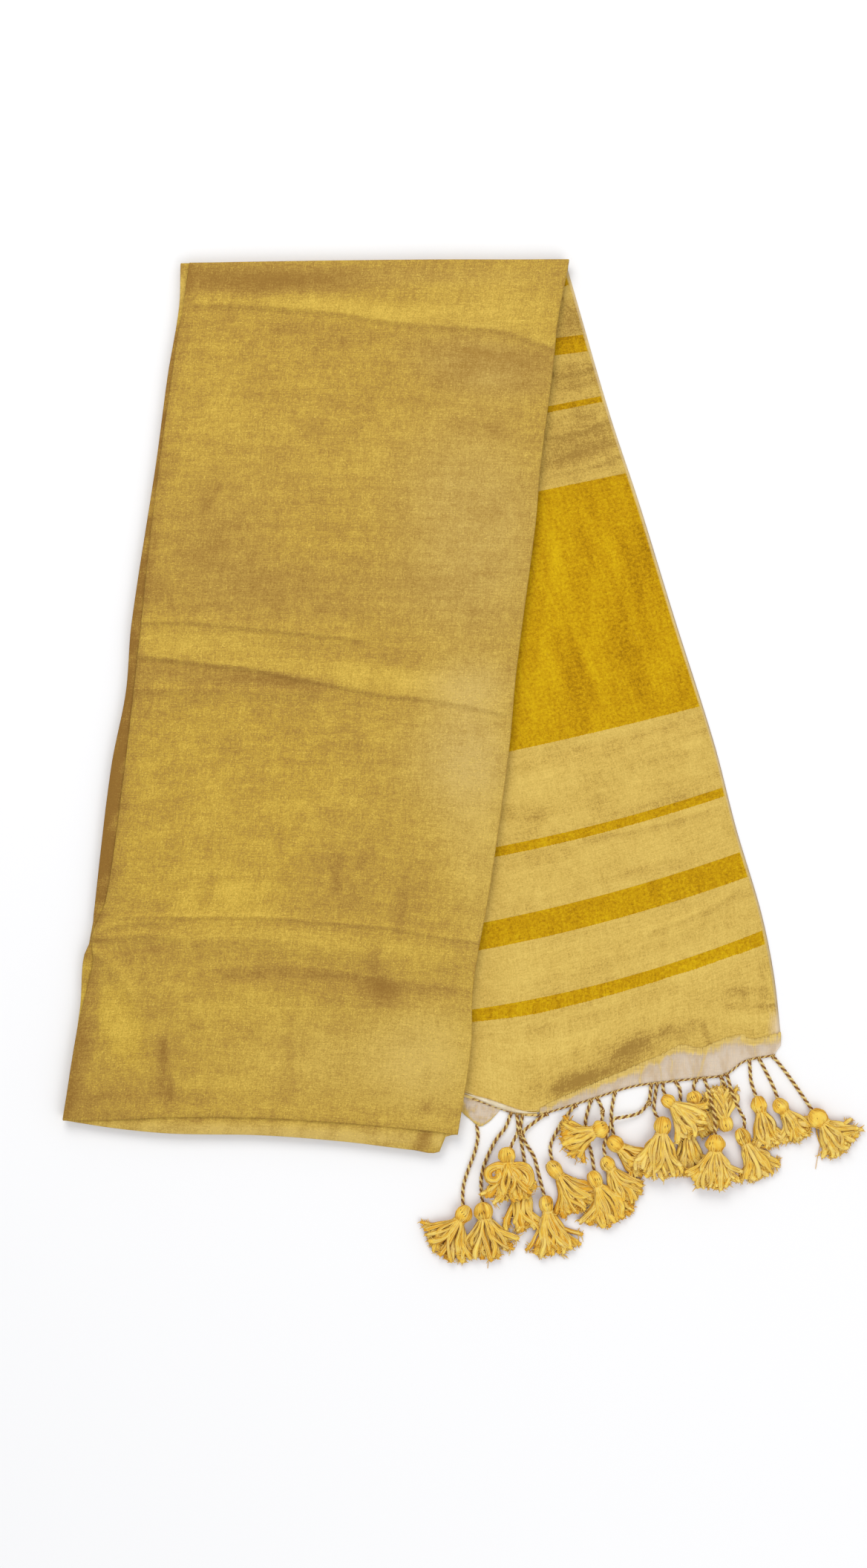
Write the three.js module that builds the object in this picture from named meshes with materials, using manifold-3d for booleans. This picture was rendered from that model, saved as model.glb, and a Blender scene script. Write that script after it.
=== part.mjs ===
// A saree of gold tissue cloth, folded and laid flat: the folded stack with its top and second layers,
// the striped end panel fanned out from under its right edge, the sheer end strip, the twisted hem cord
// and twenty cotton tassels. Millimetres, +Z up from the surface it lies on, +Y towards the top fold.

import * as THREE from 'three';
import { mergeVertices } from 'three/addons/utils/BufferGeometryUtils.js';
import Module from 'manifold-3d';

const wasm = await Module();
wasm.setup();

// Driving dimensions: the whole cloth, folded in four across its width and in eight along its length
const CLOTH = { width: 1150, length: 5300 };
const FOLDS = { across: 4, along: 8 };
const STACK = { width: CLOTH.width / FOLDS.across, length: CLOTH.length / FOLDS.along };
const SEAM = 0.3;

// How the stack lies: each side leans from the vertical, and each end from the horizontal, in degrees
const LEAN = { left: 7.84, topEnd: -0.3, bottomEnd: 2.1 };
const TOP_LEFT = { x: -211, y: 377.5 };
const TOP_END_WIDTH = STACK.width * 1.019;
const BOTTOM_END_WIDTH = STACK.width * 1.038;
const LEFT_SIDE_LENGTH = STACK.length * 0.9845;

// Heights of the layers over the surface
const HIDDEN_LAYERS = { each: 2.2, bulge: 1.1, waist: 0.12 };
const SECOND_LAYER = { base: 6.9, thickness: 1.6 };
const TOP_LAYER = { base: 8.8, thickness: 1.5, columns: 13, roundedShare: 0.008 };
const PANEL = { base: 0, thickness: 1.6, tuck: 12, columns: 11, roundedShare: 0.012 };
const EDGE_SHARE = 0.4; // of its thickness, which a layer still has at its rounded edge
const STRIP = { thickness: 1.2, pleat: 0.35, pleatTurn: 2.1, startX: 62, leastWidth: 0.8 };
const HEM_CORD = { radius: 0.9, sides: 5, gap: 1.1, startX: 9, steps: 40 };
const TASSEL_CORD = { radius: 1.3, sides: 5 };
const LOCK = { root: 1.5, middle: 1.8, end: 1.1, sides: 3, broad: 1.25, flat: 0.85 };
const NECK = { along: 0.52, spread: 0.2, height: 0.38 };
const TIERS = { lower: 1.5, upper: 3.6, crest: 0.7 };

// How far each edge bows out of its straight line, in mm, at a fraction of the way along it
const LEFT_BOW = [
  { at: 0, out: 0 },
  { at: 0.05, out: -3.3 },
  { at: 0.13, out: -1.9 },
  { at: 0.23, out: -2.2 },
  { at: 0.42, out: -0.4 },
  { at: 0.5, out: -3.2 },
  { at: 0.59, out: 0 },
  { at: 0.76, out: -2.1 },
  { at: 0.786, out: -3 },
  { at: 0.812, out: 1 },
  { at: 0.87, out: -1.6 },
  { at: 1, out: 0 },
];
const TOP_LAYER_LEFT_BOW = [
  { at: 0, out: -6.7 },
  { at: 0.05, out: -6.5 },
  { at: 0.1, out: -5.5 },
  { at: 0.3, out: -5.5 },
  { at: 0.45, out: -8.5 },
  { at: 0.6, out: -10.5 },
  { at: 0.74, out: -10 },
  { at: 0.786, out: -3.4 },
  { at: 0.815, out: -6.6 },
  { at: 0.89, out: -2 },
  { at: 1, out: -0.4 },
];
const RIGHT_BOW = [
  { at: 0, out: 0 },
  { at: 0.07, out: -2.7 },
  { at: 0.12, out: -1.8 },
  { at: 0.24, out: -1.7 },
  { at: 0.3, out: 0 },
  { at: 0.47, out: -0.3 },
  { at: 0.56, out: 1.7 },
  { at: 0.72, out: 0.4 },
  { at: 0.83, out: -2.8 },
  { at: 0.9, out: 1.5 },
  { at: 1, out: 0 },
];
const TOP_END_BOW = [
  { at: 0, out: 0 },
  { at: 0.5, out: 0.8 },
  { at: 1, out: 0 },
];
const FOLD_LINE_BOW = [
  { at: 0, out: 0 },
  { at: 0.1, out: -1.2 },
  { at: 0.28, out: -5.4 },
  { at: 0.5, out: -7.2 },
  { at: 0.71, out: -5.7 },
  { at: 0.93, out: -2 },
  { at: 1, out: 0 },
];
const LOWER_LIP_BOW = [
  { at: 0, out: 0 },
  { at: 0.135, out: 4.6 },
  { at: 0.28, out: 6.9 },
  { at: 0.5, out: 5.6 },
  { at: 0.71, out: 7.9 },
  { at: 0.89, out: 12.4 },
  { at: 0.955, out: 13.6 },
  { at: 0.985, out: 1.5 },
  { at: 1, out: -1 },
];
const SELVEDGE_BOW = [
  { at: 0, out: 0 },
  { at: 0.19, out: 1.2 },
  { at: 0.31, out: 4.8 },
  { at: 0.46, out: 7.4 },
  { at: 0.62, out: 11 },
  { at: 0.73, out: 9.8 },
  { at: 0.84, out: 11 },
  { at: 0.92, out: 7.6 },
  { at: 1, out: 0 },
];

// Folds of the top layer, from the top fold down. left and right are fractions of the way down each
// side; riseLeft, riseMiddle and riseRight are the height of the cloth there above its lowest level
const TOP_LAYER_FOLDS = [
  { left: 0, right: 0, riseLeft: 0, riseMiddle: 0, riseRight: 0 },
  { left: 0.006, right: 0.006, riseLeft: 0.2, riseMiddle: 0.3, riseRight: 0.2 },
  { left: 0.03, right: 0.06, riseLeft: 0.3, riseMiddle: 0.2, riseRight: 0.2 },
  { left: 0.047, right: 0.095, riseLeft: 0.8, riseMiddle: 1.2, riseRight: 0.9 },
  { left: 0.064, right: 0.118, riseLeft: 0.1, riseMiddle: 0, riseRight: 0.1 },
  { left: 0.11, right: 0.165, riseLeft: 0.4, riseMiddle: 0.5, riseRight: 0.3 },
  { left: 0.16, right: 0.23, riseLeft: 0.4, riseMiddle: 0.9, riseRight: 0.6 },
  { left: 0.185, right: 0.255, riseLeft: 0.3, riseMiddle: 0.2, riseRight: 0.2 },
  { left: 0.27, right: 0.32, riseLeft: 0.4, riseMiddle: 0.6, riseRight: 0.4 },
  { left: 0.35, right: 0.39, riseLeft: 0.4, riseMiddle: 0.5, riseRight: 0.4 },
  { left: 0.398, right: 0.44, riseLeft: 0.1, riseMiddle: 0.3, riseRight: 0.4 },
  { left: 0.417, right: 0.465, riseLeft: 1.1, riseMiddle: 0.9, riseRight: 0.4 },
  { left: 0.434, right: 0.497, riseLeft: 0.2, riseMiddle: 0.3, riseRight: 0.4 },
  { left: 0.45, right: 0.524, riseLeft: 1, riseMiddle: 1.4, riseRight: 1.1 },
  { left: 0.47, right: 0.54, riseLeft: 0, riseMiddle: 0, riseRight: 0.1 },
  { left: 0.494, right: 0.57, riseLeft: 1.1, riseMiddle: 0.8, riseRight: 0.3 },
  { left: 0.52, right: 0.6, riseLeft: 0.2, riseMiddle: 0.3, riseRight: 0.4 },
  { left: 0.6, right: 0.66, riseLeft: 0.6, riseMiddle: 0.4, riseRight: 0.5 },
  { left: 0.68, right: 0.72, riseLeft: 0.4, riseMiddle: 0.6, riseRight: 0.3 },
  { left: 0.738, right: 0.762, riseLeft: 0.1, riseMiddle: 0.1, riseRight: 0.1 },
  { left: 0.757, right: 0.783, riseLeft: 1.2, riseMiddle: 1, riseRight: 0.9 },
  { left: 0.778, right: 0.803, riseLeft: 0.2, riseMiddle: 0.4, riseRight: 0.5 },
  { left: 0.805, right: 0.838, riseLeft: 0.7, riseMiddle: 0, riseRight: 0 },
  { left: 0.84, right: 0.866, riseLeft: 0.3, riseMiddle: 0.6, riseRight: 0.5 },
  { left: 0.9, right: 0.92, riseLeft: 0.4, riseMiddle: 0.3, riseRight: 0.5 },
  { left: 0.96, right: 0.966, riseLeft: 0.4, riseMiddle: 0.5, riseRight: 0.3 },
  { left: 0.994, right: 0.994, riseLeft: 0.2, riseMiddle: 0.2, riseRight: 0.2 },
  { left: 1, right: 1, riseLeft: 0, riseMiddle: 0, riseRight: 0 },
];

// Weft lines of the end panel, from the top down: how high each meets the stack's edge and the selvedge,
// how far it sags between them, and how high the cloth stands there
const PANEL_FOLDS = [
  { left: 366, right: 375, sag: 0, rise: 0 },
  { left: 358, right: 366, sag: 0, rise: 0.1 },
  { left: 331, right: 337, sag: 0, rise: 0.2 },
  { left: 314, right: 318.6, sag: 0, rise: 0.3 },
  { left: 296, right: 303, sag: 0, rise: 0.1 },
  { left: 281, right: 290, sag: 0, rise: 0.8 },
  { left: 265.7, right: 276.6, sag: 0, rise: 0.1 },
  { left: 246, right: 259, sag: 0, rise: 0.2 },
  { left: 227, right: 241, sag: 0, rise: 1 },
  { left: 203.8, right: 220.6, sag: 0, rise: 0.2 },
  { left: 155, right: 180, sag: 0, rise: 0.5 },
  { left: 106, right: 136, sag: 0, rise: 0.3 },
  { left: 56, right: 90, sag: 0, rise: 0.5 },
  { left: 6.7, right: 44.2, sag: 1, rise: 0.2 },
  { left: -14, right: 26, sag: 1.5, rise: 0.9 },
  { left: -32, right: 10, sag: 2, rise: 0.1 },
  { left: -50, right: -5, sag: 3, rise: 0.5 },
  { left: -68.9, right: -20.2, sag: 3.7, rise: 0.1 },
  { left: -90, right: -35, sag: 4, rise: 1 },
  { left: -110, right: -55, sag: 4.5, rise: 0.2 },
  { left: -132.7, right: -75, sag: 4.8, rise: 0.4 },
  { left: -151, right: -91, sag: 6, rise: 1.1 },
  { left: -170, right: -110, sag: 7, rise: 0.1 },
  { left: -191.5, right: -128.8, sag: 8.4, rise: 0.3 },
];
const PANEL_ROWS_TO_HEM = [
  { share: 0.28, rise: 0.6 },
  { share: 0.55, rise: 0.1 },
  { share: 0.8, rise: 0.5 },
  { share: 0.965, rise: 0.3 },
  { share: 1, rise: 0 },
];

// The tasselled hem, and the line where the gold weft stops above it
const HEM_LINE = [
  { x: -14, y: -244 },
  { x: 6.7, y: -250.9 },
  { x: 24, y: -257 },
  { x: 42, y: -263 },
  { x: 57, y: -264.3 },
  { x: 74, y: -260 },
  { x: 102, y: -251.4 },
  { x: 117, y: -246.4 },
  { x: 134, y: -242 },
  { x: 162, y: -238.6 },
  { x: 183, y: -236.3 },
  { x: 200, y: -233.8 },
  { x: 214, y: -224 },
  { x: 238, y: -219 },
];
const GOLD_WEFT_END = [
  { x: -14, y: -243.5 },
  { x: 6.7, y: -250.4 },
  { x: 24, y: -256.5 },
  { x: 42, y: -262.5 },
  { x: 57, y: -263.8 },
  { x: 66, y: -259.5 },
  { x: 90, y: -248.8 },
  { x: 118, y: -237 },
  { x: 137, y: -228.5 },
  { x: 151, y: -223 },
  { x: 167, y: -215.2 },
  { x: 182, y: -217.3 },
  { x: 196, y: -211.7 },
  { x: 213, y: -207.4 },
  { x: 220, y: -210.6 },
  { x: 243, y: -205.5 },
];
// The corner flap's free edge from left to right, and where it runs beside the hem, from right to left
const FLAP_FREE_EDGE = [
  { x: -4, y: -250 },
  { x: -2, y: -261 },
  { x: 4, y: -268 },
  { x: 12.4, y: -274 },
  { x: 19.6, y: -270.5 },
  { x: 24.6, y: -264.5 },
];
const FLAP_BESIDE_HEM = [31, 20, 8];
const SELVEDGE = { top: { x: 80.5, y: 377 }, bottom: { x: 242.5, y: -205 } };

// Value at `at` on a smooth curve through the rows of a table
function smoothValue(rows, at, from, to) {
  const last = rows.length - 1;
  let k = 0;
  while (k < last - 1 && at > rows[k + 1][from]) k += 1;
  const slope = (a, b) => (rows[b][to] - rows[a][to]) / (rows[b][from] - rows[a][from]);
  const span = rows[k + 1][from] - rows[k][from];
  const here = THREE.MathUtils.clamp((at - rows[k][from]) / span, 0, 1);
  const startSlope = slope(Math.max(k - 1, 0), k + 1) * span;
  const endSlope = slope(k, Math.min(k + 2, last)) * span;
  const square = here * here;
  const cube = square * here;
  return (
    (2 * cube - 3 * square + 1) * rows[k][to] +
    (cube - 2 * square + here) * startSlope +
    (3 * square - 2 * cube) * rows[k + 1][to] +
    (cube - square) * endSlope
  );
}

const radians = THREE.MathUtils.degToRad;
const lerp = THREE.MathUtils.lerp;
const corners = stackCorners();

function stackCorners() {
  const topLeft = new THREE.Vector2(TOP_LEFT.x, TOP_LEFT.y);
  const topRight = new THREE.Vector2(
    TOP_LEFT.x + TOP_END_WIDTH * Math.cos(radians(LEAN.topEnd)),
    TOP_LEFT.y - TOP_END_WIDTH * Math.sin(radians(LEAN.topEnd)),
  );
  const bottomLeft = new THREE.Vector2(
    TOP_LEFT.x - LEFT_SIDE_LENGTH * Math.sin(radians(LEAN.left)),
    TOP_LEFT.y - LEFT_SIDE_LENGTH * Math.cos(radians(LEAN.left)),
  );
  const bottomRight = new THREE.Vector2(
    bottomLeft.x + BOTTOM_END_WIDTH * Math.cos(radians(LEAN.bottomEnd)),
    bottomLeft.y - BOTTOM_END_WIDTH * Math.sin(radians(LEAN.bottomEnd)),
  );
  return { topLeft, topRight, bottomLeft, bottomRight };
}

// Point a fraction of the way from one corner to the next, moved out (to the left of the way) by its bow
function bowedEdge(from, to, bow, at, extra = 0) {
  const along = to.clone().sub(from);
  const outward = new THREE.Vector2(-along.y, along.x).normalize();
  const bowed = smoothValue(bow, at, 'at', 'out') + extra;
  return from.clone().addScaledVector(along, at).addScaledVector(outward, bowed);
}

// The four edges of one layer of the stack, each moved out by its own amount
function layerEdges({ leftBow = LEFT_BOW, bottomBow = LOWER_LIP_BOW, out = {} }) {
  const { topLeft, topRight, bottomLeft, bottomRight } = corners;
  const { left = 0, right = 0, top = 0, bottom = 0 } = out;
  const flip = (bow) => bow.map((row) => ({ at: row.at, out: -row.out }));
  const leftFlipped = flip(leftBow);
  const bottomFlipped = flip(bottomBow);
  return {
    left: (down) => bowedEdge(topLeft, bottomLeft, leftFlipped, down, -left),
    right: (down) => bowedEdge(topRight, bottomRight, RIGHT_BOW, down, right),
    top: (across) => bowedEdge(topLeft, topRight, TOP_END_BOW, across, top),
    bottom: (across) => bowedEdge(bottomLeft, bottomRight, bottomFlipped, across, -bottom),
  };
}

// Point of a layer, a fraction across it and down it, blended from its four edges
function layerPoint(edges, across, down) {
  const outOfStraight = (end) => end(across).sub(end(0).lerp(end(1), across));
  const point = edges.left(down)
    .lerp(edges.right(down), across)
    .addScaledVector(outOfStraight(edges.top), 1 - down)
    .addScaledVector(outOfStraight(edges.bottom), down);
  const topMoved = edges.top(0).y - edges.left(0).y;
  const bottomMoved = edges.bottom(0).y - edges.left(1).y;
  point.y += lerp(topMoved, bottomMoved, down);
  return point;
}

// A closed body from its faces, given as corner indices into a list of points
function closedBody(points, faces) {
  const geometry = new THREE.BufferGeometry().setFromPoints(points);
  geometry.setIndex(faces.flat());
  return geometry;
}

// A wall of cloth: rows of points on its upper face over a flat underside at height `base`
function clothWall(rows, base) {
  const across = rows[0].length;
  const points = rows.flat();
  const at = (row, column) => row * across + column;
  const faces = [];
  for (let row = 0; row < rows.length - 1; row += 1) {
    for (let column = 0; column < across - 1; column += 1) {
      const [a, b] = [at(row, column), at(row, column + 1)];
      const [c, d] = [at(row + 1, column + 1), at(row + 1, column)];
      faces.push([a, d, c], [a, c, b]);
    }
  }
  const rim = [];
  for (let row = 0; row < rows.length - 1; row += 1) rim.push(at(row, 0));
  for (let column = 0; column < across - 1; column += 1) rim.push(at(rows.length - 1, column));
  for (let row = rows.length - 1; row > 0; row -= 1) rim.push(at(row, across - 1));
  for (let column = across - 1; column > 0; column -= 1) rim.push(at(0, column));
  closeBelow(points, faces, rim, base);
  return closedBody(points, faces);
}

// Adds the side and the flat underside below a rim that runs anticlockwise seen from above
function closeBelow(points, faces, rim, base) {
  const under = rim.map((k) => points.push(new THREE.Vector3(points[k].x, points[k].y, base)) - 1);
  rim.forEach((top, k) => {
    const next = (k + 1) % rim.length;
    faces.push([top, under[k], under[next]], [top, under[next], rim[next]]);
  });
  const outline = under.map((k) => new THREE.Vector2(points[k].x, points[k].y));
  for (const [a, b, c] of THREE.ShapeUtils.triangulateShape(outline, [])) {
    faces.push([under[a], under[c], under[b]]);
  }
}

// Fractions from 0 to 1 in equal steps, with one more just inside each end for the rounded edge
function fractions(steps, edge) {
  const list = [0, edge];
  for (let k = 1; k < steps; k += 1) list.push(k / steps);
  return [...list, 1 - edge, 1];
}

// Height of a fold between its left end, middle and right end
function riseAcross(fold, across) {
  const left = (1 - across) * (1 - 2 * across) * fold.riseLeft;
  const middle = 4 * across * (1 - across) * fold.riseMiddle;
  const right = across * (2 * across - 1) * fold.riseRight;
  return Math.max(left + middle + right, 0);
}

// The hidden layers of the stack as one solid, its side rounded in and out once for each group of layers
function makeFoldedStack() {
  const shift = [
    { left: -1.5, right: -PANEL.tuck - SEAM - 1, top: -0.5, bottom: -3 },
    { left: 0.2, right: -1.6, top: 0.3, bottom: -1 },
    { left: -2.5, right: -2.8, top: -1.2, bottom: -5 },
  ];
  const sides = [0.012, 0.05, 0.12, 0.22, 0.34, 0.46, 0.58, 0.7, 0.775, 0.82, 0.9, 0.96, 0.988];
  const ends = [0.03, 0.12, 0.26, 0.42, 0.58, 0.72, 0.86, 0.95, 0.975];
  const ring = (out, z) => {
    const edges = layerEdges({ out });
    const place = (across, down) => {
      const point = layerPoint(edges, across, down);
      return new THREE.Vector3(point.x, point.y, z);
    };
    return [
      ...sides.map((down) => place(0, down)),
      ...ends.map((across) => place(across, 1)),
      ...sides.toReversed().map((down) => place(1, down)),
      ...ends.toReversed().map((across) => place(across, 0)),
    ];
  };
  const inward = (out, by) =>
    Object.fromEntries(Object.entries(out).map(([side, value]) => [side, value - by]));
  const { each, waist, bulge } = HIDDEN_LAYERS;
  const rings = [];
  shift.forEach((out, k) => {
    const low = k * each + (k === 0 ? 0 : waist / 2);
    const high = (k + 1) * each - waist / 2;
    rings.push(ring(inward(out, bulge), low));
    rings.push(ring(out, (low + high) / 2));
    rings.push(ring(inward(out, bulge), high));
  });
  const count = rings[0].length;
  const points = rings.flat();
  const faces = [];
  for (let level = 0; level < rings.length - 1; level += 1) {
    for (let k = 0; k < count; k += 1) {
      const next = (k + 1) % count;
      const [a, b] = [level * count + k, level * count + next];
      const [c, d] = [b + count, a + count];
      faces.push([a, b, c], [a, c, d]);
    }
  }
  const flatFace = (level) => rings[level].map((point) => new THREE.Vector2(point.x, point.y));
  const topStart = (rings.length - 1) * count;
  for (const [a, b, c] of THREE.ShapeUtils.triangulateShape(flatFace(0), [])) {
    faces.push([a, c, b]);
  }
  for (const [a, b, c] of THREE.ShapeUtils.triangulateShape(flatFace(rings.length - 1), [])) {
    faces.push([topStart + a, topStart + b, topStart + c]);
  }
  return closedBody(points, faces);
}

// The second layer, which shows as a strip along the left edge and a lip along the bottom edge
function makeSecondLayer() {
  const edges = layerEdges({});
  const { base, thickness } = SECOND_LAYER;
  const down = [0, 0.006, 0.05, 0.13, 0.23, 0.42, 0.5, 0.59, 0.7, 0.76, 0.786, 0.812, 0.87, 0.95, 0.994, 1];
  const across = [0, 0.01, 0.135, 0.28, 0.5, 0.71, 0.85, 0.93, 0.96, 0.985, 0.995, 1];
  const rows = down.map((v) =>
    across.map((u) => {
      const point = layerPoint(edges, u, v);
      const atEdge = u === 0 || u === 1 || v === 0 || v === 1;
      return new THREE.Vector3(point.x, point.y, base + (atEdge ? EDGE_SHARE : 1) * thickness);
    }),
  );
  return clothWall(rows, base);
}

// The top layer, with its creases as crests and troughs
function makeTopLayer() {
  const edges = layerEdges({ leftBow: TOP_LAYER_LEFT_BOW, bottomBow: FOLD_LINE_BOW });
  const { base, thickness } = TOP_LAYER;
  const lastFold = TOP_LAYER_FOLDS.length - 1;
  const rows = TOP_LAYER_FOLDS.map((fold, k) =>
    fractions(TOP_LAYER.columns, TOP_LAYER.roundedShare).map((across) => {
      const point = layerPoint(edges, across, lerp(fold.left, fold.right, across));
      const atEdge = across === 0 || across === 1 || k === 0 || k === lastFold;
      const height = atEdge ? EDGE_SHARE * thickness : thickness + riseAcross(fold, across);
      return new THREE.Vector3(point.x, point.y, base + height);
    }),
  );
  return clothWall(rows, base);
}

const hemY = (x) => smoothValue(HEM_LINE, x, 'x', 'y');
const goldEndY = (x) => smoothValue(GOLD_WEFT_END, x, 'x', 'y');

// Where a height meets the stack's right edge, less the tuck under it, and where it meets the selvedge
function panelLeft(y) {
  const edges = layerEdges({});
  const down = THREE.MathUtils.clamp(
    (corners.topRight.y - y) / (corners.topRight.y - corners.bottomRight.y), 0, 1);
  return new THREE.Vector2(edges.right(down).x - PANEL.tuck, y);
}
function panelRight(y) {
  const top = new THREE.Vector2(SELVEDGE.top.x, SELVEDGE.top.y);
  const bottom = new THREE.Vector2(SELVEDGE.bottom.x, SELVEDGE.bottom.y);
  const down = THREE.MathUtils.clamp((top.y - y) / (top.y - bottom.y), 0, 1);
  const straight = top.clone().lerp(bottom, down);
  return new THREE.Vector2(straight.x + smoothValue(SELVEDGE_BOW, down, 'at', 'out'), y);
}

const PANEL_COLUMNS = fractions(PANEL.columns, PANEL.roundedShare);

// Point of the panel's lower edge, where the gold weft stops
function panelEnd(across) {
  const x = lerp(panelLeft(goldEndY(-10)).x, SELVEDGE.bottom.x, across);
  return new THREE.Vector2(x, goldEndY(x));
}

// The striped end panel, fanned out from under the stack, from its top down to where the gold weft stops
function makeEndPanel() {
  const { base, thickness } = PANEL;
  const across = PANEL_COLUMNS;
  const weftPoint = (fold, u) => {
    const point = panelLeft(fold.left).lerp(panelRight(fold.right), u);
    point.y -= fold.sag * 4 * u * (1 - u);
    return point;
  };
  // the crests die away under the stack, where the panel lies flat
  const free = (u) => THREE.MathUtils.smoothstep(u, 0.1, 0.35);
  const height = (rise, u, atEnd) => {
    const atEdge = atEnd || u === 0 || u === 1;
    return base + (atEdge ? EDGE_SHARE * thickness : thickness + rise * free(u));
  };
  const rows = PANEL_FOLDS.map((fold, k) =>
    across.map((u) => {
      const point = weftPoint(fold, u);
      return new THREE.Vector3(point.x, point.y, height(fold.rise, u, k === 0));
    }),
  );
  const lastWeft = PANEL_FOLDS.at(-1);
  PANEL_ROWS_TO_HEM.forEach(({ share, rise }, k) => {
    rows.push(
      across.map((u) => {
        const point = weftPoint(lastWeft, u).lerp(panelEnd(u), share);
        if (u === 1) point.x = panelRight(point.y).x;
        return new THREE.Vector3(point.x, point.y, height(rise, u, k === PANEL_ROWS_TO_HEM.length - 1));
      }),
    );
  });
  return clothWall(rows, base);
}

// The sheer strip with no gold weft, between the panel and the hem cord. Its upper edge runs straight
// between the same points as the panel's lower edge, so that the seam stays even
function makeEndStrip() {
  const first = PANEL_COLUMNS.findIndex((across) => panelEnd(across).x > STRIP.startX);
  const ends = PANEL_COLUMNS.slice(first).map((across) => panelEnd(across));
  const upper = ends.flatMap((end, k) =>
    k === ends.length - 1 ? [end] : [end, end.clone().lerp(ends[k + 1], 0.5)],
  );
  const rows = [0, 0.5, 1].map((share) =>
    upper.map((end, k) => {
      const top = new THREE.Vector2(end.x, end.y - SEAM);
      const hemX = Math.min(end.x, HEM_LINE.at(-1).x + 1);
      const hem = new THREE.Vector2(hemX, Math.min(hemY(hemX), top.y - STRIP.leastWidth));
      const point = top.lerp(hem, share);
      const pleat = share === 0.5 ? STRIP.pleat * Math.sin(k * STRIP.pleatTurn) : 0;
      return new THREE.Vector3(point.x, point.y, STRIP.thickness + pleat);
    }),
  );
  return clothWall(rows, 0);
}

// The small sheer corner of the layer below, which shows under the hem beside the stack
function makeCornerFlap() {
  const clear = HEM_CORD.radius * 2 + HEM_CORD.gap + 2 * SEAM;
  const besideHem = FLAP_BESIDE_HEM.map((x) => new THREE.Vector2(x, hemY(x) - clear));
  const free = FLAP_FREE_EDGE.map(({ x, y }) => new THREE.Vector2(x, y));
  const shape = new THREE.Shape([...free, ...besideHem]);
  return new THREE.ExtrudeGeometry(shape, { depth: STRIP.thickness, bevelEnabled: false });
}

// A regular section for tubes
function section(sides, radius) {
  const shape = new THREE.Shape();
  for (let k = 0; k < sides; k += 1) {
    const angle = (k * 2 * Math.PI) / sides;
    const corner = [radius * Math.cos(angle), radius * Math.sin(angle)];
    if (k === 0) shape.moveTo(...corner);
    else shape.lineTo(...corner);
  }
  return shape;
}

function tube(points, radius, sides, steps) {
  const extrudePath = new THREE.CatmullRomCurve3(points, false, 'centripetal');
  return new THREE.ExtrudeGeometry(section(sides, radius), { extrudePath, steps, bevelEnabled: false });
}

// Lower edge of the cloth at x, below the sheer strip where it is narrow, and the hem's direction there
function clothEdgeY(x) {
  const belowStrip = goldEndY(x) - SEAM - STRIP.leastWidth;
  return x > STRIP.startX - 6 ? Math.min(hemY(x), belowStrip) : hemY(x);
}
const hemDirection = (x) =>
  new THREE.Vector3(2, clothEdgeY(x + 1) - clothEdgeY(x - 1), 0).normalize();

// Centre of the hem cord at x, just outside the edge of the cloth
function hemCordPoint(x) {
  const out = (HEM_CORD.radius + HEM_CORD.gap) / hemDirection(x).x;
  return new THREE.Vector3(x, clothEdgeY(x) - out, HEM_CORD.radius + SEAM);
}

function makeHemCord() {
  const points = [];
  for (let k = 0; k <= HEM_CORD.steps; k += 1) {
    points.push(hemCordPoint(lerp(HEM_CORD.startX, HEM_LINE.at(-1).x, k / HEM_CORD.steps)));
  }
  return tube(points, HEM_CORD.radius, HEM_CORD.sides, HEM_CORD.steps);
}

// Merges equal corners and makes a solid of a closed geometry
function solidOf(geometry) {
  const bare = geometry.clone();
  bare.deleteAttribute('normal');
  bare.deleteAttribute('uv');
  const merged = mergeVertices(bare, 1e-4);
  return new wasm.Manifold(
    new wasm.Mesh({
      numProp: 3,
      vertProperties: Float32Array.from(merged.getAttribute('position').array),
      triVerts: Uint32Array.from(merged.getIndex().array),
    }),
  );
}

function geometryOf(solid) {
  const { vertProperties, triVerts } = solid.getMesh();
  const geometry = new THREE.BufferGeometry();
  geometry.setAttribute('position', new THREE.BufferAttribute(Float32Array.from(vertProperties), 3));
  geometry.setIndex(Array.from(triVerts));
  return geometry;
}

// One lock of yarn: a tapered three-sided strand through its points
function makeLock(points, radii) {
  const sectionCorners = [];
  const faces = [];
  points.forEach((point, k) => {
    const before = points[Math.max(k - 1, 0)];
    const after = points[Math.min(k + 1, points.length - 1)];
    const along = after.clone().sub(before).normalize();
    const sideways = new THREE.Vector3(-along.y, along.x, 0).normalize();
    const upwards = sideways.clone().cross(along).negate();
    for (let side = 0; side < LOCK.sides; side += 1) {
      const angle = Math.PI / 2 + (side * 2 * Math.PI) / LOCK.sides;
      sectionCorners.push(
        point.clone()
          .addScaledVector(sideways, radii[k] * LOCK.broad * Math.cos(angle))
          .addScaledVector(upwards, radii[k] * LOCK.flat * Math.sin(angle)),
      );
    }
  });
  const last = (points.length - 1) * LOCK.sides;
  for (let ring = 0; ring < points.length - 1; ring += 1) {
    for (let side = 0; side < LOCK.sides; side += 1) {
      const next = (side + 1) % LOCK.sides;
      const [a, b] = [ring * LOCK.sides + side, ring * LOCK.sides + next];
      const [c, d] = [b + LOCK.sides, a + LOCK.sides];
      faces.push([a, b, c], [a, c, d]);
    }
  }
  faces.push([0, 2, 1], [last, last + 1, last + 2]);
  return closedBody(sectionCorners, faces);
}

const CORD_REST = 1.7;
const at = (x, y, z = CORD_REST) => new THREE.Vector3(x, y, z);

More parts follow.
